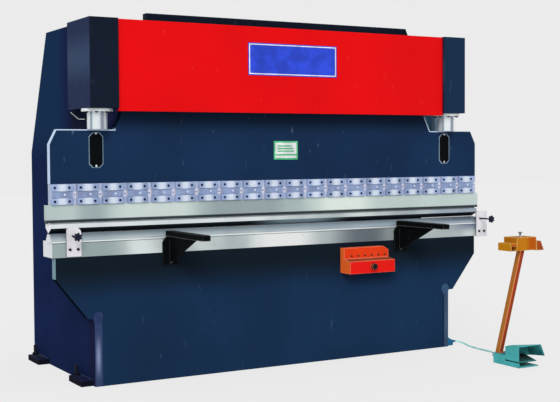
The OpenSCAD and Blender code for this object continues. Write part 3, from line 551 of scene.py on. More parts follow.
def holder_marks(f):
    """Painted reflections: bright and dull stretches along the punch holder."""
    x = f.at.x
    return [
        (x.near(-0.38, 0.50, 0.22) * 0.85, (0.56, 0.61, 0.63)),
        (x.near(-1.69, 0.16, 0.04) * 0.6, (0.56, 0.62, 0.64)),
        (x.near(-1.16, 0.42, 0.22) * 0.85, (0.84, 0.89, 0.87)),
        (x.near(0.58, 0.44, 0.12) * 0.9, (0.91, 0.96, 0.92)),
        (x.ramp(0.70, 1.0) * 0.6, (0.82, 0.88, 0.86)),
    ]


def holder_shade(f):
    """Painted shadow: the dark line along the bottom."""
    return [(f.at.z.ramp(1.273, 1.267) * 0.95, (0.10, 0.14, 0.19))]


def clamp_marks(f):
    """A painted highlight in the middle of every clamp plate, once in each pitch."""
    along = ((f.at.x + 4.0) / CLAMP_PITCH).part()
    return [(along.near(0.43, 0.27, 0.05) * 0.85, f.paints.clamp_highlight)]


def clamp_body_marks(f):
    """Painted highlights: bright spots in the gaps between the clamps."""
    front = f.face.y.ramp(-0.5, -0.9)
    return [(front * f.at.z.near(1.455, 0.034, 0.008) * 0.8, (0.95, 0.92, 0.95))]


def bracket_marks(f):
    """Painted shade on the left sides, and on the top of the right bracket."""
    top = f.face.z.ramp(0.5, 0.9) * f.at.x.ramp(1.90, 1.95)
    return [((f.face.x.ramp(-0.5, -0.9) + top).held() * 0.85, (0.26, 0.25, 0.30))]


def rod_marks(f):
    """Painted reflections: streaks down the plated rods, by how far they face to the right."""
    across = f.vector("DOT_PRODUCT", f.facing, (0.87, -0.50, 0), "Value")
    return [
        (across.near(-0.45, 0.20, 0.04) * 0.9, (0.44, 0.53, 0.60)),
        (across.near(0.62, 0.30, 0.04) * 0.9, (0.42, 0.45, 0.54)),
        (across.ramp(0.88, 0.97) * 0.7, (0.70, 0.78, 0.88)),
    ]


def head_marks(f):
    """A front that turns redder to the right and a dark front on the shroud, both painted shade, a
    paler shroud on the left and a darker guard on the right.
    """
    x = f.at.x
    front = f.face.y.ramp(-0.5, -0.9)
    shroud = x.ramp(1.4685, 1.4675)
    guard = x.ramp(1.671, 1.675)
    return [
        (front * x.ramp(1.55, 1.62) * 0.95, (0.69, 0.33, 0.065)),
        (shroud * 0.7, (0.80, 0.55, 0.08)),
        (shroud * front * 0.9, (0.66, 0.26, 0.09)),
        (guard * 0.9, f.paints.head_side),
        (guard * x.ramp(1.69, 1.74) * 0.7, (0.56, 0.22, 0.16)),
    ]


def post_marks(f):
    """Painted light on the left side, and on the front a painted highlight at its pale corner and
    painted shade to the right of it.
    """
    front = f.face.y.ramp(-0.3, -0.8)
    return [
        (f.face.x.ramp(-0.3, -0.8) * 0.9, (0.72, 0.47, 0.20)),
        (front * f.at.x.ramp(1.572, 1.598) * 0.85, (0.44, 0.17, 0.10)),
        (front * f.at.x.ramp(1.560, 1.544) * 0.9, f.paints.post_highlight),
    ]


def pedal_marks(f):
    """Painted shade on the right, below and inside the hood, and pale streaks."""
    x, y, z = f.at
    away = f.face.x.ramp(0.3, 0.8) + f.face.z.ramp(-0.2, -0.6)
    inside = y.ramp(-1.818, -1.808) * x.ramp(1.519, 1.523) * z.ramp(0.172, 0.090)
    streak = f.noise(14, 4, (1, 1, 0.4)).ramp(0.40, 0.68)
    return [
        (away.held() * 0.75, (0.10, 0.34, 0.36)),
        (inside * 0.75, (0.10, 0.34, 0.37)),
        (streak * 0.25, (0.40, 0.80, 0.80)),
    ]


@cache
def finishes():
    """Every finish, by its name."""
    p = paints()
    navy = p.navy_edge
    every = (
        painted("Bed enamel", p.bed, navy, wear=0.04, shine=0.0, marks=bed_marks),
        painted("Ram enamel", p.ram, (0.72, 0.79, 0.91), wear=0.08, marks=ram_marks),
        painted("Side frame enamel", p.side, navy, wear=0.2, shine=0.0, marks=side_marks),
        painted("Navy enamel", p.ram, navy, wear=0.5),
        painted("Tank enamel", p.ram, navy, wear=0.5, marks=tank_marks),
        painted("Housing enamel", p.housing, navy, wear=0.15, marks=housing_marks),
        painted("Cap enamel", toned(p.housing, 0.95), navy, wear=0.15),
        painted("Cover enamel", p.cover, p.cover_edge, gloss=0.4, wear=0.2, drift=0.03,
                shine=0.03, marks=cover_marks),
        # a strong, wide edge band: painted highlights along the tool box's edges
        painted("Tool box enamel", p.tool_box, p.box_wear_and_highlight, wear=1.0, width=0.009,
                marks=box_marks),
        # painted highlights along the drawer's edges
        painted("Drawer enamel", p.drawer, p.box_wear_and_highlight, wear=0.8, width=0.008),
        painted("Black enamel", p.dark, p.dark_wear_and_highlight, gloss=0.5, wear=arm_wear_and_highlights, width=0.008),
        painted("Foot black", (0.065, 0.075, 0.120), p.dark_wear_and_highlight, gloss=0.6, wear=0.06,
                marks=foot_marks),
        painted("Motor enamel", p.motor, (0.7, 0.72, 0.74), wear=0.4),
        # a strong, wide edge band: painted highlights along the console's edges
        painted("Console enamel", p.head, p.head_highlight, wear=1.1, width=0.007, marks=head_marks),
        # a strong, wide edge band: painted highlights along the post's edges
        painted("Post enamel", p.post, p.post_highlight, wear=0.9, width=0.008, marks=post_marks),
        # its dark edge colour lays painted shade along the pedal's edges
        painted("Pedal enamel", p.pedal, (0.09, 0.30, 0.34), wear=0.9, width=0.006,
                marks=pedal_marks),
        painted("Treadle enamel", p.pedal_dark, (0.40, 0.74, 0.72), wear=0.6, width=0.003),
        bare("Ground steel", p.ground, p.ground_dark, gloss=0.36, metal=0.35, marks=rail_marks),
        bare("Punch steel", p.ground, p.ground_dark, metal=0.2, marks=punch_marks,
             shade=punch_shade),
        bare("Die steel", p.ground, p.ground_dark, metal=0.35, marks=die_marks),
        bare("Holder steel", (0.74, 0.80, 0.79), (0.65, 0.72, 0.72), metal=0.25,
             marks=holder_marks, shade=holder_shade),
        bare("Clamp steel", p.clamp, gloss=0.4, metal=0.3, patch=9, marks=clamp_marks),
        bare("Wedge steel", p.clamp_row, metal=0.25, patch=14),
        bare("Clamp body steel", (0.76, 0.79, 0.88), (0.60, 0.66, 0.80), metal=0.2, patch=11,
             marks=clamp_body_marks),
        bare("Bracket steel", p.bracket, toned(p.bracket, 0.9), gloss=0.45, metal=0.15, patch=7,
             marks=bracket_marks),
        bare("Blackened steel", p.screw, toned(p.screw, 0.6), gloss=0.4, metal=0.5),
        bare("Bolt steel", (0.78, 0.80, 0.82), (0.55, 0.57, 0.60), gloss=0.35, metal=0.7),
        bare("Machined steel", p.machined, toned(p.machined, 0.8), metal=0.8),
        bare("Rod chrome", p.chrome, toned(p.chrome, 0.94), gloss=0.2, metal=0.4,
             grain=(0.2, 0.2, 4), marks=rod_marks),
        bare("Gland steel", (0.94, 0.96, 0.96), (0.84, 0.87, 0.88), gloss=0.3, metal=0.3),
        bare("Rim steel", (0.58, 0.69, 0.77), (0.46, 0.56, 0.64), metal=0.3, patch=9),
        bare("Liner bronze", p.bronze, toned(p.bronze, 0.8), gloss=0.38, metal=0.85),
        moulded("Knob plastic", p.knob, gloss=0.35, light=3.0),
        moulded("Outlet plastic", p.outlet, light=1.2),
        moulded("Button plastic", p.button, light=1.1),
        moulded("Push plastic", p.push, light=1.4),
        moulded("Cable sheath", p.cable, gloss=0.5, light=1.1, scale=900),
        moulded("Plate enamel", p.plate, gloss=0.3, light=1.2, scale=300),
        moulded("White enamel", p.white, gloss=0.4, light=1.05, scale=300),
        moulded("Sign enamel", p.sign, gloss=0.4, light=1.2, scale=300),
        moulded("Dark rubber", (0.07, 0.09, 0.09), gloss=0.75, light=2.2, scale=240),
    )
    return {finish.name: finish for finish in every}


def dress(finish, *nodes):
    """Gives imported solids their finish."""
    for name in nodes:
        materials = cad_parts[name].data.materials
        materials.clear()
        materials.append(finishes()[finish])


# ---------------------------------------------------------------- mesh work


def placed(name, data):
    """A new object in the scene."""
    thing = bpy.data.objects.new(name, data)
    bpy.context.scene.collection.objects.link(thing)
    return thing


def side_wall():
    """How far out the side frames' plates reach, under their bosses."""
    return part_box("side_frame_right")[1].x - 0.011


def spread(first, last, count):
    """Evenly spread places, both ends included."""
    return [first + (last - first) * i / (count - 1) for i in range(count)]


def circle(count, radius, shift=0):
    """Places round a circle, shifted by a share of their spacing."""
    angles = [TURN * (i + shift) / count for i in range(count)]
    return [(radius * math.cos(a), radius * math.sin(a)) for a in angles]


def stack(*drums, ends=()):
    """Profile of drums on each other, each a radius and where it ends, and of the last steps."""
    profile, start = [], 0
    for radius, end in drums:
        profile += [(radius, start), (radius, end)]
        start = end
    return profile + list(ends)


def hexagon(across):
    """Radius of a hexagon, by angle, that is so wide across its flats."""
    return lambda angle: across / 2 / math.cos((angle + TURN / 12) % (TURN / 6) - TURN / 12)


class Form:
    """A piece under construction."""

    def __init__(self, name):
        self.name = name
        self.mesh = bmesh.new()

    def loft(self, loops):
        """Skin over loops of equal count, closed at both ends."""
        rows = [[self.mesh.verts.new(point) for point in loop] for loop in loops]
        count = len(rows[0])
        for low, high in zip(rows, rows[1:]):
            for i in range(count):
                j = (i + 1) % count
                self.mesh.faces.new((low[i], low[j], high[j], high[i]))
        self.mesh.faces.new(rows[0][::-1])
        self.mesh.faces.new(rows[-1])
        return self

    def turned(self, start, along, profile, sides=32):
        """Turned solid of (radius, distance) steps. A radius may be a function of the angle."""
        turn = Vector(along).to_track_quat("Z", "Y").to_matrix()
        angles = [TURN * i / sides for i in range(sides)]

        def loop(radius, distance):
            radii = [radius(a) if callable(radius) else radius for a in angles]
            return [
                Vector(start) + turn @ Vector((r * math.cos(a), r * math.sin(a), distance))
                for r, a in zip(radii, angles)
            ]

        return self.loft([loop(*step) for step in profile])

    def block(self, low, high):
        """Box between two corners."""
        (x0, y0, z0), (x1, y1, z1) = low, high
        ring = [(x0, y0), (x1, y0), (x1, y1), (x0, y1)]
        return self.loft([[(x, y, z) for x, y in ring] for z in (z0, z1)])

    def panel(self, outline, y0, y1):
        """Plate with its outline in X and Z."""
        return self.loft([[(x, y, z) for x, z in outline] for y in (y0, y1)])

    def sweep(self, path, radius, sides=12):
        """Round bar along a path. The radius is a number or a function of the distance."""
        points = [Vector(p) for p in path]
        side = Vector(UP).cross(points[1] - points[0])
        if side.length < 1e-6:
            side = Vector(RIGHT)
        loops, travelled = [], 0.0
        for i, point in enumerate(points):
            ahead = points[min(i + 1, len(points) - 1)] - points[max(i - 1, 0)]
            ahead.normalize()
            side = (side - ahead * side.dot(ahead)).normalized()
            over = side.cross(ahead)
            if i:
                travelled += (point - points[i - 1]).length
            r = radius(travelled) if callable(radius) else radius
            loops.append([
                point + r * (math.cos(TURN * k / sides) * side + math.sin(TURN * k / sides) * over)
                for k in range(sides)
            ])
        return self.loft(loops)

    def thread(self, start, along, reach, radius, depth, pitch, sides=24, steps=6):
        """Helical thread round a rod, in so many steps a turn, fading out at both ends."""
        count = round(reach / pitch * steps)

        def groove(i):
            distance = reach * i / count
            fade = min(1.0, i / steps, (count - i) / steps)

            def radius_at(angle):
                wave = (distance / pitch - angle / TURN) % 1.0
                return radius - depth * fade * (1 - abs(2 * wave - 1))

            return radius_at, distance

        return self.turned(start, along, [groove(i) for i in range(count + 1)], sides)

    def weld(self, start, end, size):
        """Weld seam with its ripples."""
        a, b = Vector(start), Vector(end)
        count = max(4, round((b - a).length / 0.006))
        path = [a.lerp(b, i / count) for i in range(count + 1)]
        return self.sweep(path, lambda d: size * (0.55 + 0.07 * math.sin(d * TURN / 0.018)), 8)

    def done(self, finish, body, slot, bevel=0.0, replaces=()):
        """The finished piece, on its body and in place of the solids it replaces. Its slot is not
        used.
        """
        bmesh.ops.recalc_face_normals(self.mesh, faces=self.mesh.faces)
        if bevel:
            sharp = [
                e for e in self.mesh.edges if len(e.link_faces) == 2 and e.calc_face_angle() > 0.6
            ]
            bmesh.ops.bevel(
                self.mesh, geom=sharp, offset=bevel, segments=2, profile=0.6, affect="EDGES",
                clamp_overlap=True,
            )
        data = bpy.data.meshes.new(self.name)
        self.mesh.to_mesh(data)
        self.mesh.free()
        data.materials.append(finishes()[finish])
        data.shade_smooth()
        data.set_sharp_from_angle(angle=math.radians(36))
        piece = placed(self.name, data)
        even = piece.modifiers.new("Even shading", "WEIGHTED_NORMAL")
        even.keep_sharp = True
        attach(piece, body)
        if replaces:
            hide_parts(*replaces)
        return piece


def smooth_path(points, steps):
    """Points on the one smooth curve through the given ones."""
    points = [Vector(p) for p in points]
    last = len(points) - 1
    path = []
    for i in range(last):
        a, b, c, d = (points[max(0, min(last, i + k))] for k in (-1, 0, 1, 2))
        for k in range(steps):
            t = k / steps
            path.append(0.5 * (2 * b + (c - a) * t + (2 * a - 5 * b + 4 * c - d) * t * t
                               + (3 * b - a - 3 * c + d) * t ** 3))
    return path + [points[last]]


def path_length(path):
    """How long the path is along its points."""
    return sum((b - a).length for a, b in zip(path, path[1:]))


# ---------------------------------------------------------------- operators


class Step:
    """What all building steps share."""

    bl_options = {"REGISTER", "UNDO"}


class PRESS_OT_camera(Step, bpy.types.Operator):
    """Sets the camera in front of the press, to its left"""

    bl_idname = "press.camera"
    bl_label = "Camera"

    def execute(self, context):
        lens = bpy.data.cameras.new("Camera")
        lens.sensor_width = 36.0
        lens.lens = context.scene.press_stage.lens
        camera = placed("Camera", lens)
        stand = Matrix.Translation((-4.615, -8.639, 1.754))
        heading, dip, roll = (math.radians(a) for a in (29.85, 2.46, -0.36))
        for angle, axis in ((-heading, "Z"), (TURN / 4 - dip, "X"), (roll, "Z")):
            stand = stand @ Matrix.Rotation(angle, 4, axis)
        camera.matrix_world = stand
        context.scene.camera = camera
        return {"FINISHED"}


class PRESS_OT_cable(Step, bpy.types.Operator):
    """Lays the pedal cable from its outlet box to the pedal"""

    bl_idname = "press.cable"
    bl_label = "Pedal cable"

    def execute(self, context):
        route = [
            (1.731, -0.686, 0.038), (1.757, -0.686, 0.038), (1.786, -0.692, 0.036),
            (1.810, -0.708, 0.031), (1.826, -0.732, 0.023), (1.832, -0.763, 0.015),
            (1.829, -0.810, 0.0082), (1.817, -0.875, 0.0076), (1.806, -0.945, 0.0076),
            (1.800, -1.020, 0.0076), (1.800, -1.095, 0.0076), (1.795, -1.170, 0.0076),
            (1.767, -1.240, 0.0076), (1.717, -1.300, 0.009), (1.663, -1.350, 0.016),
            (1.621, -1.389, 0.030), (1.587, -1.427, 0.046), (1.568, -1.461, 0.055),
            (1.561, -1.489, 0.056), (1.560, -1.511, 0.056),
        ]
        width = context.scene.press_sizes.cable
        path = smooth_path(route, 3)
        cable = Form("pedal_cable").sweep(path, width / 2, 16)
        cable = cable.done("Cable sheath", "frame", "cable_sheath", replaces=["cable"])
        relief = self.relief()
        path_length(path)
        return {"FINISHED"}

    def relief(self):
        """Outlet box on the side frame, and the ribbed boot that tapers onto the cable."""
        low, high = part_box("cable_outlet")
        y, z, face = (low.y + high.y) / 2, low.z + 0.032, low.x + 0.054
        box = Form("outlet_box").panel(
            [(low.x, low.z), (face, low.z), (face, low.z + 0.046), (low.x, high.z)], low.y, high.y)
        screw = stack((0.0032, 0.002), ends=[(0.0024, 0.0028), (0.001, 0.0028)])
        for dy in (-0.0155, 0.0155):
            for dz in (-0.026, 0.0095):
                box.turned((face - 0.001, y + dy, z + dz), RIGHT, screw, 16)
        box.done("Outlet plastic", "frame", "blue_plastic", 0.0022, ["cable_outlet"])
        steps = stack((hexagon(0.0235), 0.009), ends=[(0.0105, 0.0100)])
        for i in range(5):
            ring, root, start = 0.0110 - 0.0004 * i, 0.0096 - 0.0004 * i, 0.0112 + 0.0058 * i
            steps += [(root, start), (ring, start + 0.001), (ring, start + 0.0036),
                      (root, start + 0.0044)]
        steps.append((0.0085, high.x - face))
        boot = Form("strain_relief").turned((face, y, z), RIGHT, steps, 36)
        return boot.done("Outlet plastic", "frame", "blue_plastic")


class PRESS_OT_frame(Step, bpy.types.Operator):
    """Paints the bed and side frames, and adds levelling bolts and weld seams"""

    bl_idname = "press.frame"
    bl_label = "Bed and side frames"

    def execute(self, context):
        dress("Bed enamel", "bed_plate")
        dress("Side frame enamel", "side_frame_left", "side_frame_right")
        dress("Navy enamel", "bed_web", "tie_beam")
        dress("Foot black", "floor_pads")
        self.bolts()
        self.welds()
        return {"FINISHED"}

    def bolts(self):
        low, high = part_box("levelling_bolts")
        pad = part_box("floor_pads")[1].z
        washer = 0.027
        bolts, nuts = Form("levelling_bolts_threaded"), Form("levelling_nuts")
        nut = stack((washer, 0.003), (hexagon(0.046), 0.020),
                    ends=[(0.022, 0.0225), (0.0152, 0.0225)])
        for x in (washer - high.x, high.x - washer):
            for y in (low.y + washer, high.y - washer):
                bolts.thread((x, y, 0.0), UP, high.z, radius=0.015, depth=0.0016,
                             pitch=sizes().bolt_pitch)
                nuts.turned((x, y, pad), UP, nut, 36)
        bolts.done("Foot black", "frame", "screw_steel", replaces=["levelling_bolts"])
        nuts.done("Foot black", "frame", "screw_steel")

    def welds(self):
        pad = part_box("floor_pads")[1].z
        web_low, web_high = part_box("bed_web")
        tie_low, tie_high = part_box("tie_beam")
        wall, half, foot = side_wall(), 0.132, 0.52
        seams = Form("weld_seams")
        for s in (-1, 1):
            for x, start, end in (
                (wall, (-foot - half, pad), (half - foot, pad)),
                (wall, (foot - half, pad), (foot + half, pad)),
                (web_high.x, (web_high.y, web_low.z), (web_high.y, web_high.z)),
                (web_high.x, (tie_low.y, tie_low.z), (tie_low.y, tie_high.z)),
                (web_high.x, (tie_low.y, tie_high.z), (tie_high.y, tie_high.z)),
            ):
                seams.weld((s * x, *start), (s * x, *end), sizes().weld)
        seams.done("Navy enamel", "frame", "navy_paint")


class PRESS_OT_ram(Step, bpy.types.Operator):
    """Paints the ram, and adds its window covers, their screws and the bare sign"""

    bl_idname = "press.ram"
    bl_label = "Ram"

    def execute(self, context):
        dress("Ram enamel", "ram")
        dress("Liner bronze", "guide_liners")
        dress("Machined steel", "guide_keepers")
        self.windows()
        self.sign()
        return {"FINISHED"}

    def windows(self):
        low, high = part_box("window_covers")
        screw_low, screw_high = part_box("window_screws")
        half, cut = 0.057, 0.028
        z, tall = (low.z + high.z) / 2, (high.z - low.z) / 2
        covers, fields, screws = map(
            Form, ("window_covers_rimmed", "window_fields", "window_pan_screws"))
        screw = stack((0.0082, 0.0015), ends=[
            (0.0068, 0.0038), (0.0036, 0.0048), (hexagon(0.006), 0.0048),
            (hexagon(0.0058), 0.003)])

        def octagon(x, inset):
            w, h = half - inset, tall - inset
            corners = [(-w, cut - h), (cut - w, -h), (w - cut, -h), (w, cut - h),
                       (w, h - cut), (w - cut, h), (cut - w, h), (-w, h - cut)]
            return [(x + a, z + b) for a, b in corners]

        for x in (half - high.x, high.x - half):
            covers.panel(octagon(x, 0), low.y, high.y)
            fields.panel(octagon(x, 0.0052), low.y - 0.0012, high.y - 0.002)
            for screw_z in (screw_low.z + 0.008, screw_high.z - 0.008):
                screws.turned((x, low.y + 0.001, screw_z), FRONT, screw, 24)
        covers.done("Rim steel", "ram_body", "black_paint", 0.0012, ["window_covers"])
        fields.done("Black enamel", "ram_body", "black_paint", 0.0008)
        screws.done("White enamel", "ram_body", "bolt_steel", replaces=["window_screws"])

    def sign(self):
        low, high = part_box("sign_plate")
        plate = Form("sign_blank").block(low, high)
        plate.done("Sign enamel", "ram_body", "sign_green", 0.0006, ["sign_plate"])
        wide, tall = high.x - low.x, high.z - low.z

        def strips(name, finish, front, back, shares):
            """Flat strips, each from and to shares of the plate's width and height."""
            form = Form(name)
            for x0, x1, z0, z1 in shares:
                form.block((low.x + x0 * wide, low.y + front, low.z + z0 * tall),
                           (low.x + x1 * wide, low.y + back, low.z + z1 * tall))
            form.done(finish, "ram_body", "sign_green", 0.0002)

        strips("sign_field", "White enamel", -0.0006, 0.0005,
               [(0.06, 0.94, 0.30, 0.91), (0.06, 0.94, 0.09, 0.22)])
        strips("sign_bands", "Sign enamel", -0.001, 0,
               [(0.16, 0.966 - 0.3 * z, z, z + 0.07) for z in (0.42, 0.56, 0.70)])


class PRESS_OT_clamps(Step, bpy.types.Operator):
    """Finishes the tool clamps and bevels their plates and wedges"""

    bl_idname = "press.clamps"
    bl_label = "Tool clamps"

    def execute(self, context):
        dress("Clamp body steel", "clamp_bodies")
        dress("Blackened steel", "upper_screws", "lower_screws")
        low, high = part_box("clamp_plates")
        wide, middle, gap = 0.164, low.z + 0.074, 0.177
        plates, wedges, pins = map(
            Form, ("clamp_plates_bevelled", "clamp_wedge_bars", "clamp_wedge_pins"))
        pin = stack((0.009, 0.0062), ends=[(0.0075, 0.007), (0.002, 0.007)])
        gap_pin = stack((0.008, 0.0047), ends=[(0.0068, 0.0055), (0.002, 0.0055)])
        for i in range(20):
            x = low.x + CLAMP_PITCH * i
            plates.block((x, low.y, high.z - 0.052), (x + wide, high.y, high.z))
            plates.block((x, low.y, low.z), (x + wide, high.y, low.z + 0.048))
            wedges.block((x, low.y + 0.007, low.z + 0.051), (x + wide, high.y, high.z - 0.055))
            pins.turned((x + 0.6201 * wide, high.y - 0.004, middle), FRONT, pin, 20)
            pins.turned((x + gap, high.y - 0.0005, middle), FRONT, gap_pin, 20)
        plates.done("Clamp steel", "ram_body", "clamp_steel", 0.0016, ["clamp_plates"])
        wedges.done("Wedge steel", "ram_body", "clamp_steel", 0.001, ["clamp_wedges"])
        pins.done("Clamp steel", "ram_body", "bolt_steel")
        return {"FINISHED"}


class PRESS_OT_tools(Step, bpy.types.Operator):
    """Finishes the punch, its holder, the die and the table rail"""

    bl_idname = "press.tools"
    bl_label = "Bending tools"

    def execute(self, context):
        dress("Holder steel", "punch_holder")
        dress("Punch steel", "punch")
        dress("Die steel", "die")
        dress("Ground steel", "die_rail")
        return {"FINISHED"}


class PRESS_OT_covers(Step, bpy.types.Operator):
    """Paints the covers, and adds the bare name plate and the cover screws"""

    bl_idname = "press.covers"
    bl_label = "Covers and name plate"

    def execute(self, context):
        dress("Housing enamel", "housing_covers")
        dress("Cap enamel", "top_cover", "roof_plate")
        dress("Cover enamel", "front_cover")
        self.name_plate()
        self.screws()
        return {"FINISHED"}

    def name_plate(self):
        low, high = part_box("name_plate")
        rim = sizes().plate_rim
        plate = Form("name_plate_bare").block(low, high)
        plate.done("Plate enamel", "frame", "plate_blue", 0.001, ["name_plate"])
        border = Form("name_plate_border")
        x0, x1, z0, z1 = low.x + rim, high.x - rim, low.z + rim, high.z - rim
        for left, bottom, right, top in (
            (x0, z0, x1, z0 + rim), (x0, z1 - rim, x1, z1),
            (x0, z0 + rim, x0 + rim, z1 - rim), (x1 - rim, z0 + rim, x1, z1 - rim),
        ):
            border.block((left, low.y - 0.0006, bottom), (right, low.y + 0.0006, top))
        border.done("White enamel", "frame", "plate_blue")
        rivets = Form("name_plate_rivets")
        for x in (low.x + rim * 2.8, high.x - rim * 2.8):
            for z in (low.z + rim * 2.8, high.z - rim * 2.8):
                rivets.turned((x, low.y + 0.0005, z), FRONT,
                              [(0.0045, 0), (0.004, 0.0014), (0.0018, 0.0022)], 16)
        rivets.done("Bolt steel", "frame", "bolt_steel")

    def screws(self):
        low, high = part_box("front_cover")
        pan = stack((0.006, 0.001), ends=[(0.0045, 0.003), (0.0015, 0.0034)])
        screws = Form("cover_screws")
        for x in spread(low.x + 0.06, high.x - 0.06, 9):
            for z in (low.z + 0.02, high.z - 0.02):
                screws.turned((x, low.y + 0.0003, z), FRONT, pan, 16)
        screws.done("Cover enamel", "frame", "red_paint")
        low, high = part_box("housing_covers")
        screws = Form("housing_screws")
        for s in (-1, 1):
            for z in spread(low.z + 0.03, high.z - 0.03, 3):
                for y in (low.y + 0.03, high.y - 0.03):
                    screws.turned((s * (high.x - 0.0003), y, z), (s, 0, 0), pan, 16)
        screws.done("Housing enamel", "frame", "dark_paint")


class PRESS_OT_hydraulics(Step, bpy.types.Operator):
    """Builds the motor, valves and fittings, and finishes the cylinders and the tank"""

    bl_idname = "press.hydraulics"
    bl_label = "Hydraulics"

    def execute(self, context):
        dress("Tank enamel", "oil_tank")
        dress("Navy enamel", "tank_lid")
        dress("Rod chrome", "piston_rods")
        dress("Gland steel", "gland_rings")
        dress("Machined steel", "cylinders", "oil_pipes", "shaft_bearings", "torsion_shaft")
        self.gland_bolts()
        self.seat_lips()
        self.motor()
        self.valves()
        self.tank_fittings()
        return {"FINISHED"}

    def gland_bolts(self):
        low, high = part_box("gland_bolts")
        bolt = stack((0.007, 0.018), (0.0118, 0.0195), (hexagon(0.0205), 0.0265),
                     ends=[(0.0088, 0.028), (0.002, 0.028)])
        bolts, rod, y = Form("gland_hex_bolts"), 1.640, (low.y + high.y) / 2
        for x in (-rod, rod):
            for right, back in circle(8, 0.103, 0.5):
                bolts.turned((x + right, y + back, high.z), DOWN, bolt, 36)
        bolts.done("Foot black", "frame", "bolt_steel", replaces=["gland_bolts"])

    def seat_lips(self):
        """Lip under each cylinder's seat, on the outer face of the side frame, in bright steel as
        a painted highlight along the seat's edge.
        """
        wall, half = side_wall(), 0.0025
        line = [(-0.575, 2.020), (-0.440, 2.024), (-0.262, 2.081)]
        section = [(-0.001, -half), (0.006, -half), (0.006, half), (-0.001, half)]
        lips = Form("seat_lips")
        for s in (-1, 1):
            for ends in zip(line, line[1:]):
                lips.loft([[(s * (wall + out), y, z + up) for out, up in section]
                           for y, z in ends])
        lips.done("Gland steel", "frame", "machined_steel", 0.001)

    def motor(self):
        low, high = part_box("motor_pump")
        r = 0.110
        y, z = (low.y + high.y) / 2, high.z - r - 0.015
        shell = Form("pump_motor")
        shell.turned((0, y, z), RIGHT, [
            (r - 0.02, 0.002), (r - 0.008, 0.004), (r - 0.008, 0.327), (r - 0.02, 0.329)], 64)
        for angle in (TURN * i / 30 for i in range(30)):
            if math.sin(angle) < -0.55:
                continue
            out = Vector((0, math.cos(angle), math.sin(angle)))
            side = Vector((0, -math.sin(angle), math.cos(angle))) * 0.0018
            root, tip = out * (r - 0.012), out * (r - 0.0005)
            fin = (root - side, root + side, tip + side * 0.6, tip - side * 0.6)
            shell.loft([[Vector((x, y, z)) + p for p in fin] for x in (0.012, 0.318)])
        shell.block((0.10, y - 0.05, z + r - 0.012), (0.22, y + 0.05, high.z))
        shell.block((0.02, y - 0.09, low.z), (0.30, y - 0.055, z - 0.08))
        shell.block((0.02, y + 0.055, low.z), (0.30, y + 0.09, z - 0.08))
        shell.block((0.02, y - 0.09, low.z), (0.30, y + 0.09, low.z + 0.012))
        shell.done("Motor enamel", "frame", "grey_paint", 0.0012, ["motor_pump"])
        cowl = Form("motor_fan_cowl").turned((0.322, y, z), RIGHT, [
            (r - 0.004, 0), (r - 0.004, 0.036), (r - 0.012, 0.046), (r - 0.03, 0.05),
            (r - 0.036, 0.047), (r - 0.05, 0.047), (r - 0.056, 0.05), (r - 0.07, 0.05),
            (r - 0.076, 0.047), (0.02, 0.047), (0.016, 0.05), (0.004, 0.05)], 48)
        cowl.done("Black enamel", "frame", "grey_paint")
        bell = Form("pump_and_bell")
        for x, profile in (
            (-0.022, [(0.008, 0), (0.014, 0.003), (0.014, 0.017), (0.008, 0.021)]),
            (-0.11, [(-0.038, 0), (-0.030, 0.008), (-0.032, 0.06), (-0.012, 0.09)]),
            (-0.29, [(-0.05, 0), (-0.042, 0.006), (-0.042, 0.05), (-0.047, 0.053),
                     (-0.047, 0.058), (-0.042, 0.061), (-0.042, 0.168), (-0.034, 0.172),
                     (-0.034, 0.182)]),
        ):
            bell.turned((x, y, z), RIGHT, [(r + more, along) for more, along in profile], 48)
        for across, up in circle(6, 0.064):
            bell.turned((-0.108, y + across, z + up), LEFT, stack((hexagon(0.013), 0.008)), 18)
        bell.turned((-0.400, y, z - 0.035), RIGHT,
                    stack((0.014, 0.085), (hexagon(0.038), 0.112)), 36)
        bell.done("Machined steel", "frame", "machined_steel")

    def valves(self):
        low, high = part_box("valve_block")
        top = low.z + MANIFOLD
        block = Form("valve_manifold").block(low, (high.x, high.y, top))
        plugs, coils = Form("valve_ports"), Form("valve_coils")
        port = stack((0.016, 0.003), (hexagon(0.022), 0.009), ends=[(0.004, 0.010)])
        for x in (low.x + 0.035, low.x + 0.09, high.x - 0.09, high.x - 0.035):
            for z in (low.z + 0.035, low.z + 0.085):
                plugs.turned((x, high.y - 0.001, z), BACK, port, 24)
        block.done("Machined steel", "frame", "machined_steel", 0.002, ["valve_block"])
        stem = stack((0.020, 0.012), ends=[
            (0.0115, 0.014), (0.0115, 0.082), (hexagon(0.020), 0.083), (hexagon(0.020), 0.090)])
        y = low.y + 0.110
        for x in (low.x + 0.04, high.x - 0.04):
            plugs.turned((x, y, top - 0.001), UP, stem, 36)
            coils.block((x - 0.023, y - 0.023, top + 0.016), (x + 0.023, y + 0.023, top + 0.070))
            coils.block((x - 0.014, y - 0.048, top + 0.026), (x + 0.014, y - 0.022, top + 0.060))
        plugs.done("Bolt steel", "frame", "machined_steel")
        coils.done("Knob plastic", "frame", "black_plastic", 0.002)

    def tank_fittings(self):
        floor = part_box("oil_tank")[0].z
        lid_low, lid_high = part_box("tank_lid")
        rear, lid = lid_high.y, lid_high.z - 0.0005

        def plate(name, finish, slot, bevel, x0, x1, z0, z1, back, front=-0.001):
            block = Form(name).block(
                (x0, rear + front, floor + z0), (x1, rear + back, floor + z1))
            block.done(finish, "frame", slot, bevel)

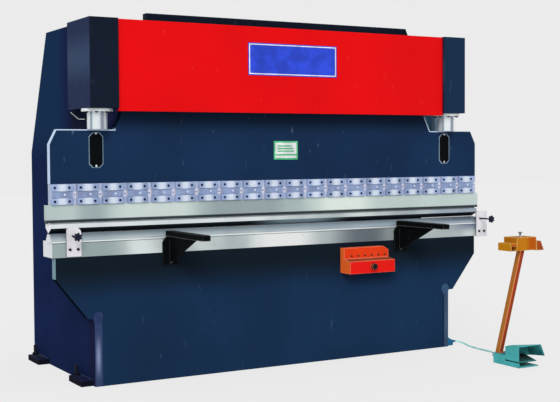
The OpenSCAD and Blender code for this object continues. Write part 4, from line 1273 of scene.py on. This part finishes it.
        plate("tank_clean_out", "Navy enamel", "navy_paint", 0.003, 0.62, 1.10, 0.16, 0.56, 0.010)
        cap = stack((0.011, 0.0015), (hexagon(0.017), 0.008), ends=[(0.006, 0.0095)])
        bolts = Form("tank_bolts")
        for x in spread(0.65, 1.07, 5):
            for z in (floor + 0.19, floor + 0.53):
                bolts.turned((x, rear + 0.0095, z), BACK, cap, 24)
        for x in spread(lid_low.x + 0.08, lid_high.x - 0.08, 12):
            bolts.turned((x, rear - 0.03, lid), UP, cap, 24)
        bolts.turned((-1.20, rear - 0.001, floor + 0.05), BACK,
                     stack((0.020, 0.006), (hexagon(0.028), 0.020)), 24)
        bolts.done("Bolt steel", "frame", "bolt_steel")
        plate("tank_sight_gauge", "Black enamel", "grey_plastic", 0.003,
              1.300, 1.334, 0.30, 0.58, 0.016)
        plate("tank_sight_glass", "Cable sheath", "grey_plastic", 0.002,
              1.310, 1.324, 0.33, 0.55, 0.0185, 0.010)
        filler = Form("tank_filler_cap").turned((-1.15, rear - 0.19, lid), UP, [
            (0.050, 0), (0.050, 0.006), (0.040, 0.007), (0.040, 0.030), (0.034, 0.036),
            (0.010, 0.038)], 40)
        filler.done("Bolt steel", "frame", "machined_steel")
        pipes = Form("pipe_nuts")
        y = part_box("oil_pipes")[1].y - 0.0225
        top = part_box("valve_block")[0].z + MANIFOLD
        nut = stack((hexagon(0.058), 0.020), ends=[(0.027, 0.022), (0.0235, 0.036)])
        for x in (-0.555, -0.485):
            pipes.turned((x, y, top - 0.0005), UP, nut, 36)
        pipes.done("Bolt steel", "frame", "machined_steel")


class PRESS_OT_back_gauge(Step, bpy.types.Operator):
    """Threads the back gauge screws and finishes its rails, beam and fingers"""

    bl_idname = "press.back_gauge"
    bl_label = "Back gauge"

    def execute(self, context):
        dress("Machined steel", "gauge_rails", "gauge_beam")
        dress("Ground steel", "gauge_fingers")
        for side in ("left", "right"):
            self.screw(side)
        return {"FINISHED"}

    def screw(self, side):
        node = f"gauge_screw_{side}"
        low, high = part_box(node)
        x, z = (low.x + high.x) / 2, (low.z + high.z) / 2
        journal, pulley, teeth = 0.0105, 0.034, 26
        screw = Form(f"lead_screw_{side}")
        screw.turned((x, low.y, z), BACK, [(0.009, 0), (journal, 0.0015), (journal, 0.031)], 32)
        screw.thread((x, low.y + 0.0305, z), BACK, high.y - low.y - 0.105, radius=0.0125,
                     depth=0.0022, pitch=sizes().lead / 4, steps=5)
        screw.turned((x, high.y - 0.0755, z), BACK, stack((journal, 0.0755)), 32)

        def tooth(angle):
            return pulley - 0.0022 * (math.cos(angle * teeth) < -0.2)

        screw.turned((x, high.y - 0.034, z), BACK, [
            (0.030, 0), (0.0339, 0.001), (tooth, 0.001), (tooth, 0.023), (0.0339, 0.023),
            (0.030, 0.024)], teeth * 6)
        screw.done("Machined steel", f"gauge_screw_{side[0]}", "machined_steel", replaces=[node])


class PRESS_OT_arms(Step, bpy.types.Operator):
    """Finishes the support arms and end brackets, and moulds the star knobs"""

    bl_idname = "press.arms"
    bl_label = "Support arms"

    def execute(self, context):
        dress("Black enamel", "arm_left", "arm_right")
        dress("Bracket steel", "end_brackets")
        dress("Blackened steel", "bracket_screws")
        for side in ("left", "right"):
            self.knob(side)
        return {"FINISHED"}

    def knob(self, side):
        node = f"knob_{side}"
        low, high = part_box(node)
        x, z = (low.x + high.x) / 2, (low.z + high.z) / 2

        def lobes(size):
            return lambda angle: size * (0.86 + 0.14 * math.cos(7 * angle))

        knob = Form(f"star_knob_{side}").turned((x, low.y, z), BACK, [
            (0.006, 0.004), (0.011, 0.0035), (0.013, 0.0005), (lobes(0.026), 0.0005),
            (lobes(0.031), 0.003), (lobes(0.0338), 0.008), (lobes(0.0338), 0.018),
            (lobes(0.031), 0.0235), (lobes(0.024), 0.026), (0.012, 0.026), (0.011, 0.034),
            (0.009, 0.035)], 84)
        knob.done("Knob plastic", f"knob_{side[0]}", "black_plastic", replaces=[node])
        stem, deep = Form(f"knob_stem_{side}"), 0.030
        stem.thread((x, low.y + deep, z), BACK, high.y - low.y - deep, radius=0.007,
                    depth=0.0009, pitch=0.0025, sides=18, steps=4)
        stem.done("Blackened steel", f"knob_{side[0]}", "screw_steel")


class PRESS_OT_tool_box(Step, bpy.types.Operator):
    """Paints the tool box and adds the drawer's knob and the tips in the slots"""

    bl_idname = "press.tool_box"
    bl_label = "Tool box"

    def execute(self, context):
        dress("Tool box enamel", "tool_box")
        dress("Drawer enamel", "drawer")
        low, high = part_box("drawer")
        x, z, slot_row = (low.x + high.x) / 2, 0.791, (-0.766, 0.878)
        knob = Form("drawer_knob").turned((x, low.y + 0.0225, z), FRONT, [
            (0.016, 0), (0.0285, 0.003), (0.0295, 0.008), (0.0295, 0.018), (0.026, 0.0225),
            (0.006, 0.0231)], 40)
        knob.done("Dark rubber", "drawer_body", "black_plastic")
        box_low, box_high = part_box("tool_box")
        tips = Form("slot_tips")
        tip = stack((0.0034, 0.006), ends=[(0.0062, 0.0062), (0.0062, 0.010), (0.003, 0.0125)])
        for i in range(6):
            slot_x = box_low.x + (box_high.x - box_low.x) * (0.155 + 0.15 * i) + 0.004
            tips.turned((slot_x, *slot_row), FRONT, tip, 12)
        tips.done("Dark rubber", "frame", "black_plastic")
        collar = Form("drawer_knob_collar").turned((x, low.y + 0.0345, z), FRONT, [
            (0.024, 0), (0.026, 0.002), (0.024, 0.009), (0.015, 0.0118)], 40)
        collar.done("Post enamel", "drawer_body", "brown_paint")
        return {"FINISHED"}


class PRESS_OT_pedal(Step, bpy.types.Operator):
    """Paints the foot pedal and adds its tread and the cable's gland"""

    bl_idname = "press.pedal"
    bl_label = "Foot pedal"

    def execute(self, context):
        dress("Pedal enamel", "pedal_base", "pedal_hood")
        dress("Treadle enamel", "treadle")
        low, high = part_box("treadle")
        ribs = Form("treadle_ribs")
        (y0, z0), (y1, z1) = (low.y + 0.012, 0.047), (-1.681, 0.079)
        for i in range(9):
            share = (i + 0.5) / 9
            y, z = y0 + (y1 - y0) * share, z0 + (z1 - z0) * share + 0.0015
            ribs.block((low.x + 0.012, y - 0.004, z - 0.004),
                       (high.x - 0.012, y + 0.004, z + 0.0022))
        ribs.done("Dark rubber", "pedal_treadle", "teal_paint", 0.0012)
        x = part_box("pedal_base")[0].x + 0.045
        gland = Form("pedal_gland").turned(
            (x, -1.489, 0.056), FRONT,
            stack((hexagon(0.030), 0.010), (hexagon(0.036), 0.024), ends=[(0.017, 0.0255)]), 36)
        gland.done("Pedal enamel", "frame", "teal_paint")
        return {"FINISHED"}


class PRESS_OT_console(Step, bpy.types.Operator):
    """Paints the console and its post, and turns its two buttons"""

    bl_idname = "press.console"
    bl_label = "Console"

    def execute(self, context):
        dress("Console enamel", "console_head")
        dress("Post enamel", "post")
        low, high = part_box("stop_button")
        x, y = (low.x + high.x) / 2, (low.y + high.y) / 2
        cap = Form("stop_button_cap").turned((x, y, low.z), UP, [
            (0.0066, 0), (0.0066, 0.0375), (0.0135, 0.0385), (0.016, 0.041), (0.016, 0.0455),
            (0.0135, 0.049), (0.008, 0.050), (0.002, 0.0492)], 40)
        cap.done("Button plastic", "stop", "grey_plastic", replaces=["stop_button"])
        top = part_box("console_head")[1].z - 0.0005
        collar = Form("stop_button_collar").turned(
            (x, y, top), UP,
            stack((0.015, 0.002), (hexagon(0.024), 0.006), ends=[(0.0085, 0.008)]), 36)
        collar.done("Bolt steel", "frame", "bolt_steel")
        low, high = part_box("push_button")
        y, z = (low.y + high.y) / 2, (low.z + high.z) / 2
        push = Form("push_button_cap").turned((high.x, y, z), LEFT, [
            (0.0086, 0), (0.0086, 0.0275), (0.0145, 0.0285), (0.016, 0.031), (0.016, 0.037),
            (0.0145, 0.0395), (0.004, 0.040)], 40)
        push.done("Push plastic", "push", "red_plastic", replaces=["push_button"])
        return {"FINISHED"}


class PRESS_OT_stage(Step, bpy.types.Operator):
    """Lays the floor and sets the light"""

    bl_idname = "press.stage"
    bl_label = "Stage"

    def execute(self, context):
        scene = context.scene
        scene.view_settings.view_transform = "Standard"
        self.sky(scene)
        self.sun(scene)
        self.floor(scene)
        return {"FINISHED"}

    def sky(self, scene):
        """Even light, with the pale backdrop where it is seen, mirrored or looked through to."""
        scene.world = bpy.data.worlds.new("Sky")
        scene.world.use_nodes = True
        sky = Nodes(scene.world.node_tree)
        plain = sky.add("ShaderNodeBackground", {},
                        {"Color": (1, 1, 1, 1), "Strength": scene.press_stage.sky})
        shown = sky.add("ShaderNodeBackground", {},
                        {"Color": (*linear(scene.press_paints.backdrop), 1)})
        rays = sky.add("ShaderNodeLightPath").socket.node.outputs
        seen, mirrored, through = (
            Link(sky, rays[f"Is {kind} Ray"]) for kind in ("Camera", "Glossy", "Transmission"))
        any_of = seen.math("MAXIMUM", seen.math("MAXIMUM", seen, mirrored), through)
        both = sky.add("ShaderNodeMixShader", {}, {0: any_of, 1: plain, 2: shown})
        sky.end("ShaderNodeOutputWorld", both)

    def sun(self, scene):
        lamp = bpy.data.lights.new("Soft lamp", "SUN")
        lamp.energy = scene.press_stage.sun
        lamp.angle = math.radians(25)
        turn = Vector((-0.50, -0.78, 0.55)).to_track_quat("Z", "Y")
        placed("Soft lamp", lamp).matrix_world = turn.to_matrix().to_4x4()

    def floor(self, scene):
        pale = (*linear(scene.press_paints.backdrop), 1)
        f = Finish("Pale floor")
        camera = f.add("ShaderNodeLightPath", out="Is Camera Ray")
        matte = f.add("ShaderNodeBsdfDiffuse", {}, {"Color": pale})
        glow = f.add("ShaderNodeEmission", {}, {"Color": pale, "Strength": 1.04})
        both = f.add("ShaderNodeMixShader", {}, {0: camera * 0.84, 1: matte, 2: glow})
        f.end("ShaderNodeOutputMaterial", both)
        mesh = bmesh.new()
        bmesh.ops.create_grid(mesh, x_segments=8, y_segments=8, size=40)
        data = bpy.data.meshes.new("floor")
        mesh.to_mesh(data)
        mesh.free()
        data.materials.append(f.material)
        floor = placed("floor", data)
        floor.location.z = -0.0005


class PRESS_PT_panel(bpy.types.Panel):
    """Lists the building steps and the settings"""

    bl_idname = "PRESS_PT_panel"
    bl_label = "Press brake"
    bl_space_type = "VIEW_3D"
    bl_region_type = "UI"
    bl_category = "Press brake"

    def draw(self, context):
        for step in STEPS:
            self.layout.operator(step.bl_idname)
        for key, group in SETTINGS.items():
            for name in group.__annotations__:
                self.layout.prop(getattr(context.scene, key), name)


STEPS = (
    PRESS_OT_camera,
    PRESS_OT_cable,
    PRESS_OT_frame,
    PRESS_OT_ram,
    PRESS_OT_clamps,
    PRESS_OT_tools,
    PRESS_OT_covers,
    PRESS_OT_hydraulics,
    PRESS_OT_back_gauge,
    PRESS_OT_arms,
    PRESS_OT_tool_box,
    PRESS_OT_pedal,
    PRESS_OT_console,
    PRESS_OT_stage,
)
SETTINGS = {
    "press_paints": PressPaints,
    "press_sizes": PressSizes,
    "press_stage": PressStage,
}
CLASSES = (*SETTINGS.values(), *STEPS, PRESS_PT_panel)


def register():
    """Adds the operators, the panel and the settings to Blender."""
    for kind in CLASSES:
        bpy.utils.register_class(kind)
    for name, group in SETTINGS.items():
        setattr(bpy.types.Scene, name, PointerProperty(type=group))


def unregister():
    """Takes them out again."""
    for name in SETTINGS:
        delattr(bpy.types.Scene, name)
    for kind in reversed(CLASSES):
        bpy.utils.unregister_class(kind)


def main():
    """Builds the whole press."""
    register()
    for step in STEPS:
        group, name = step.bl_idname.split(".")
        getattr(getattr(bpy.ops, group), name)()


if __name__ == "__main__":
    main()
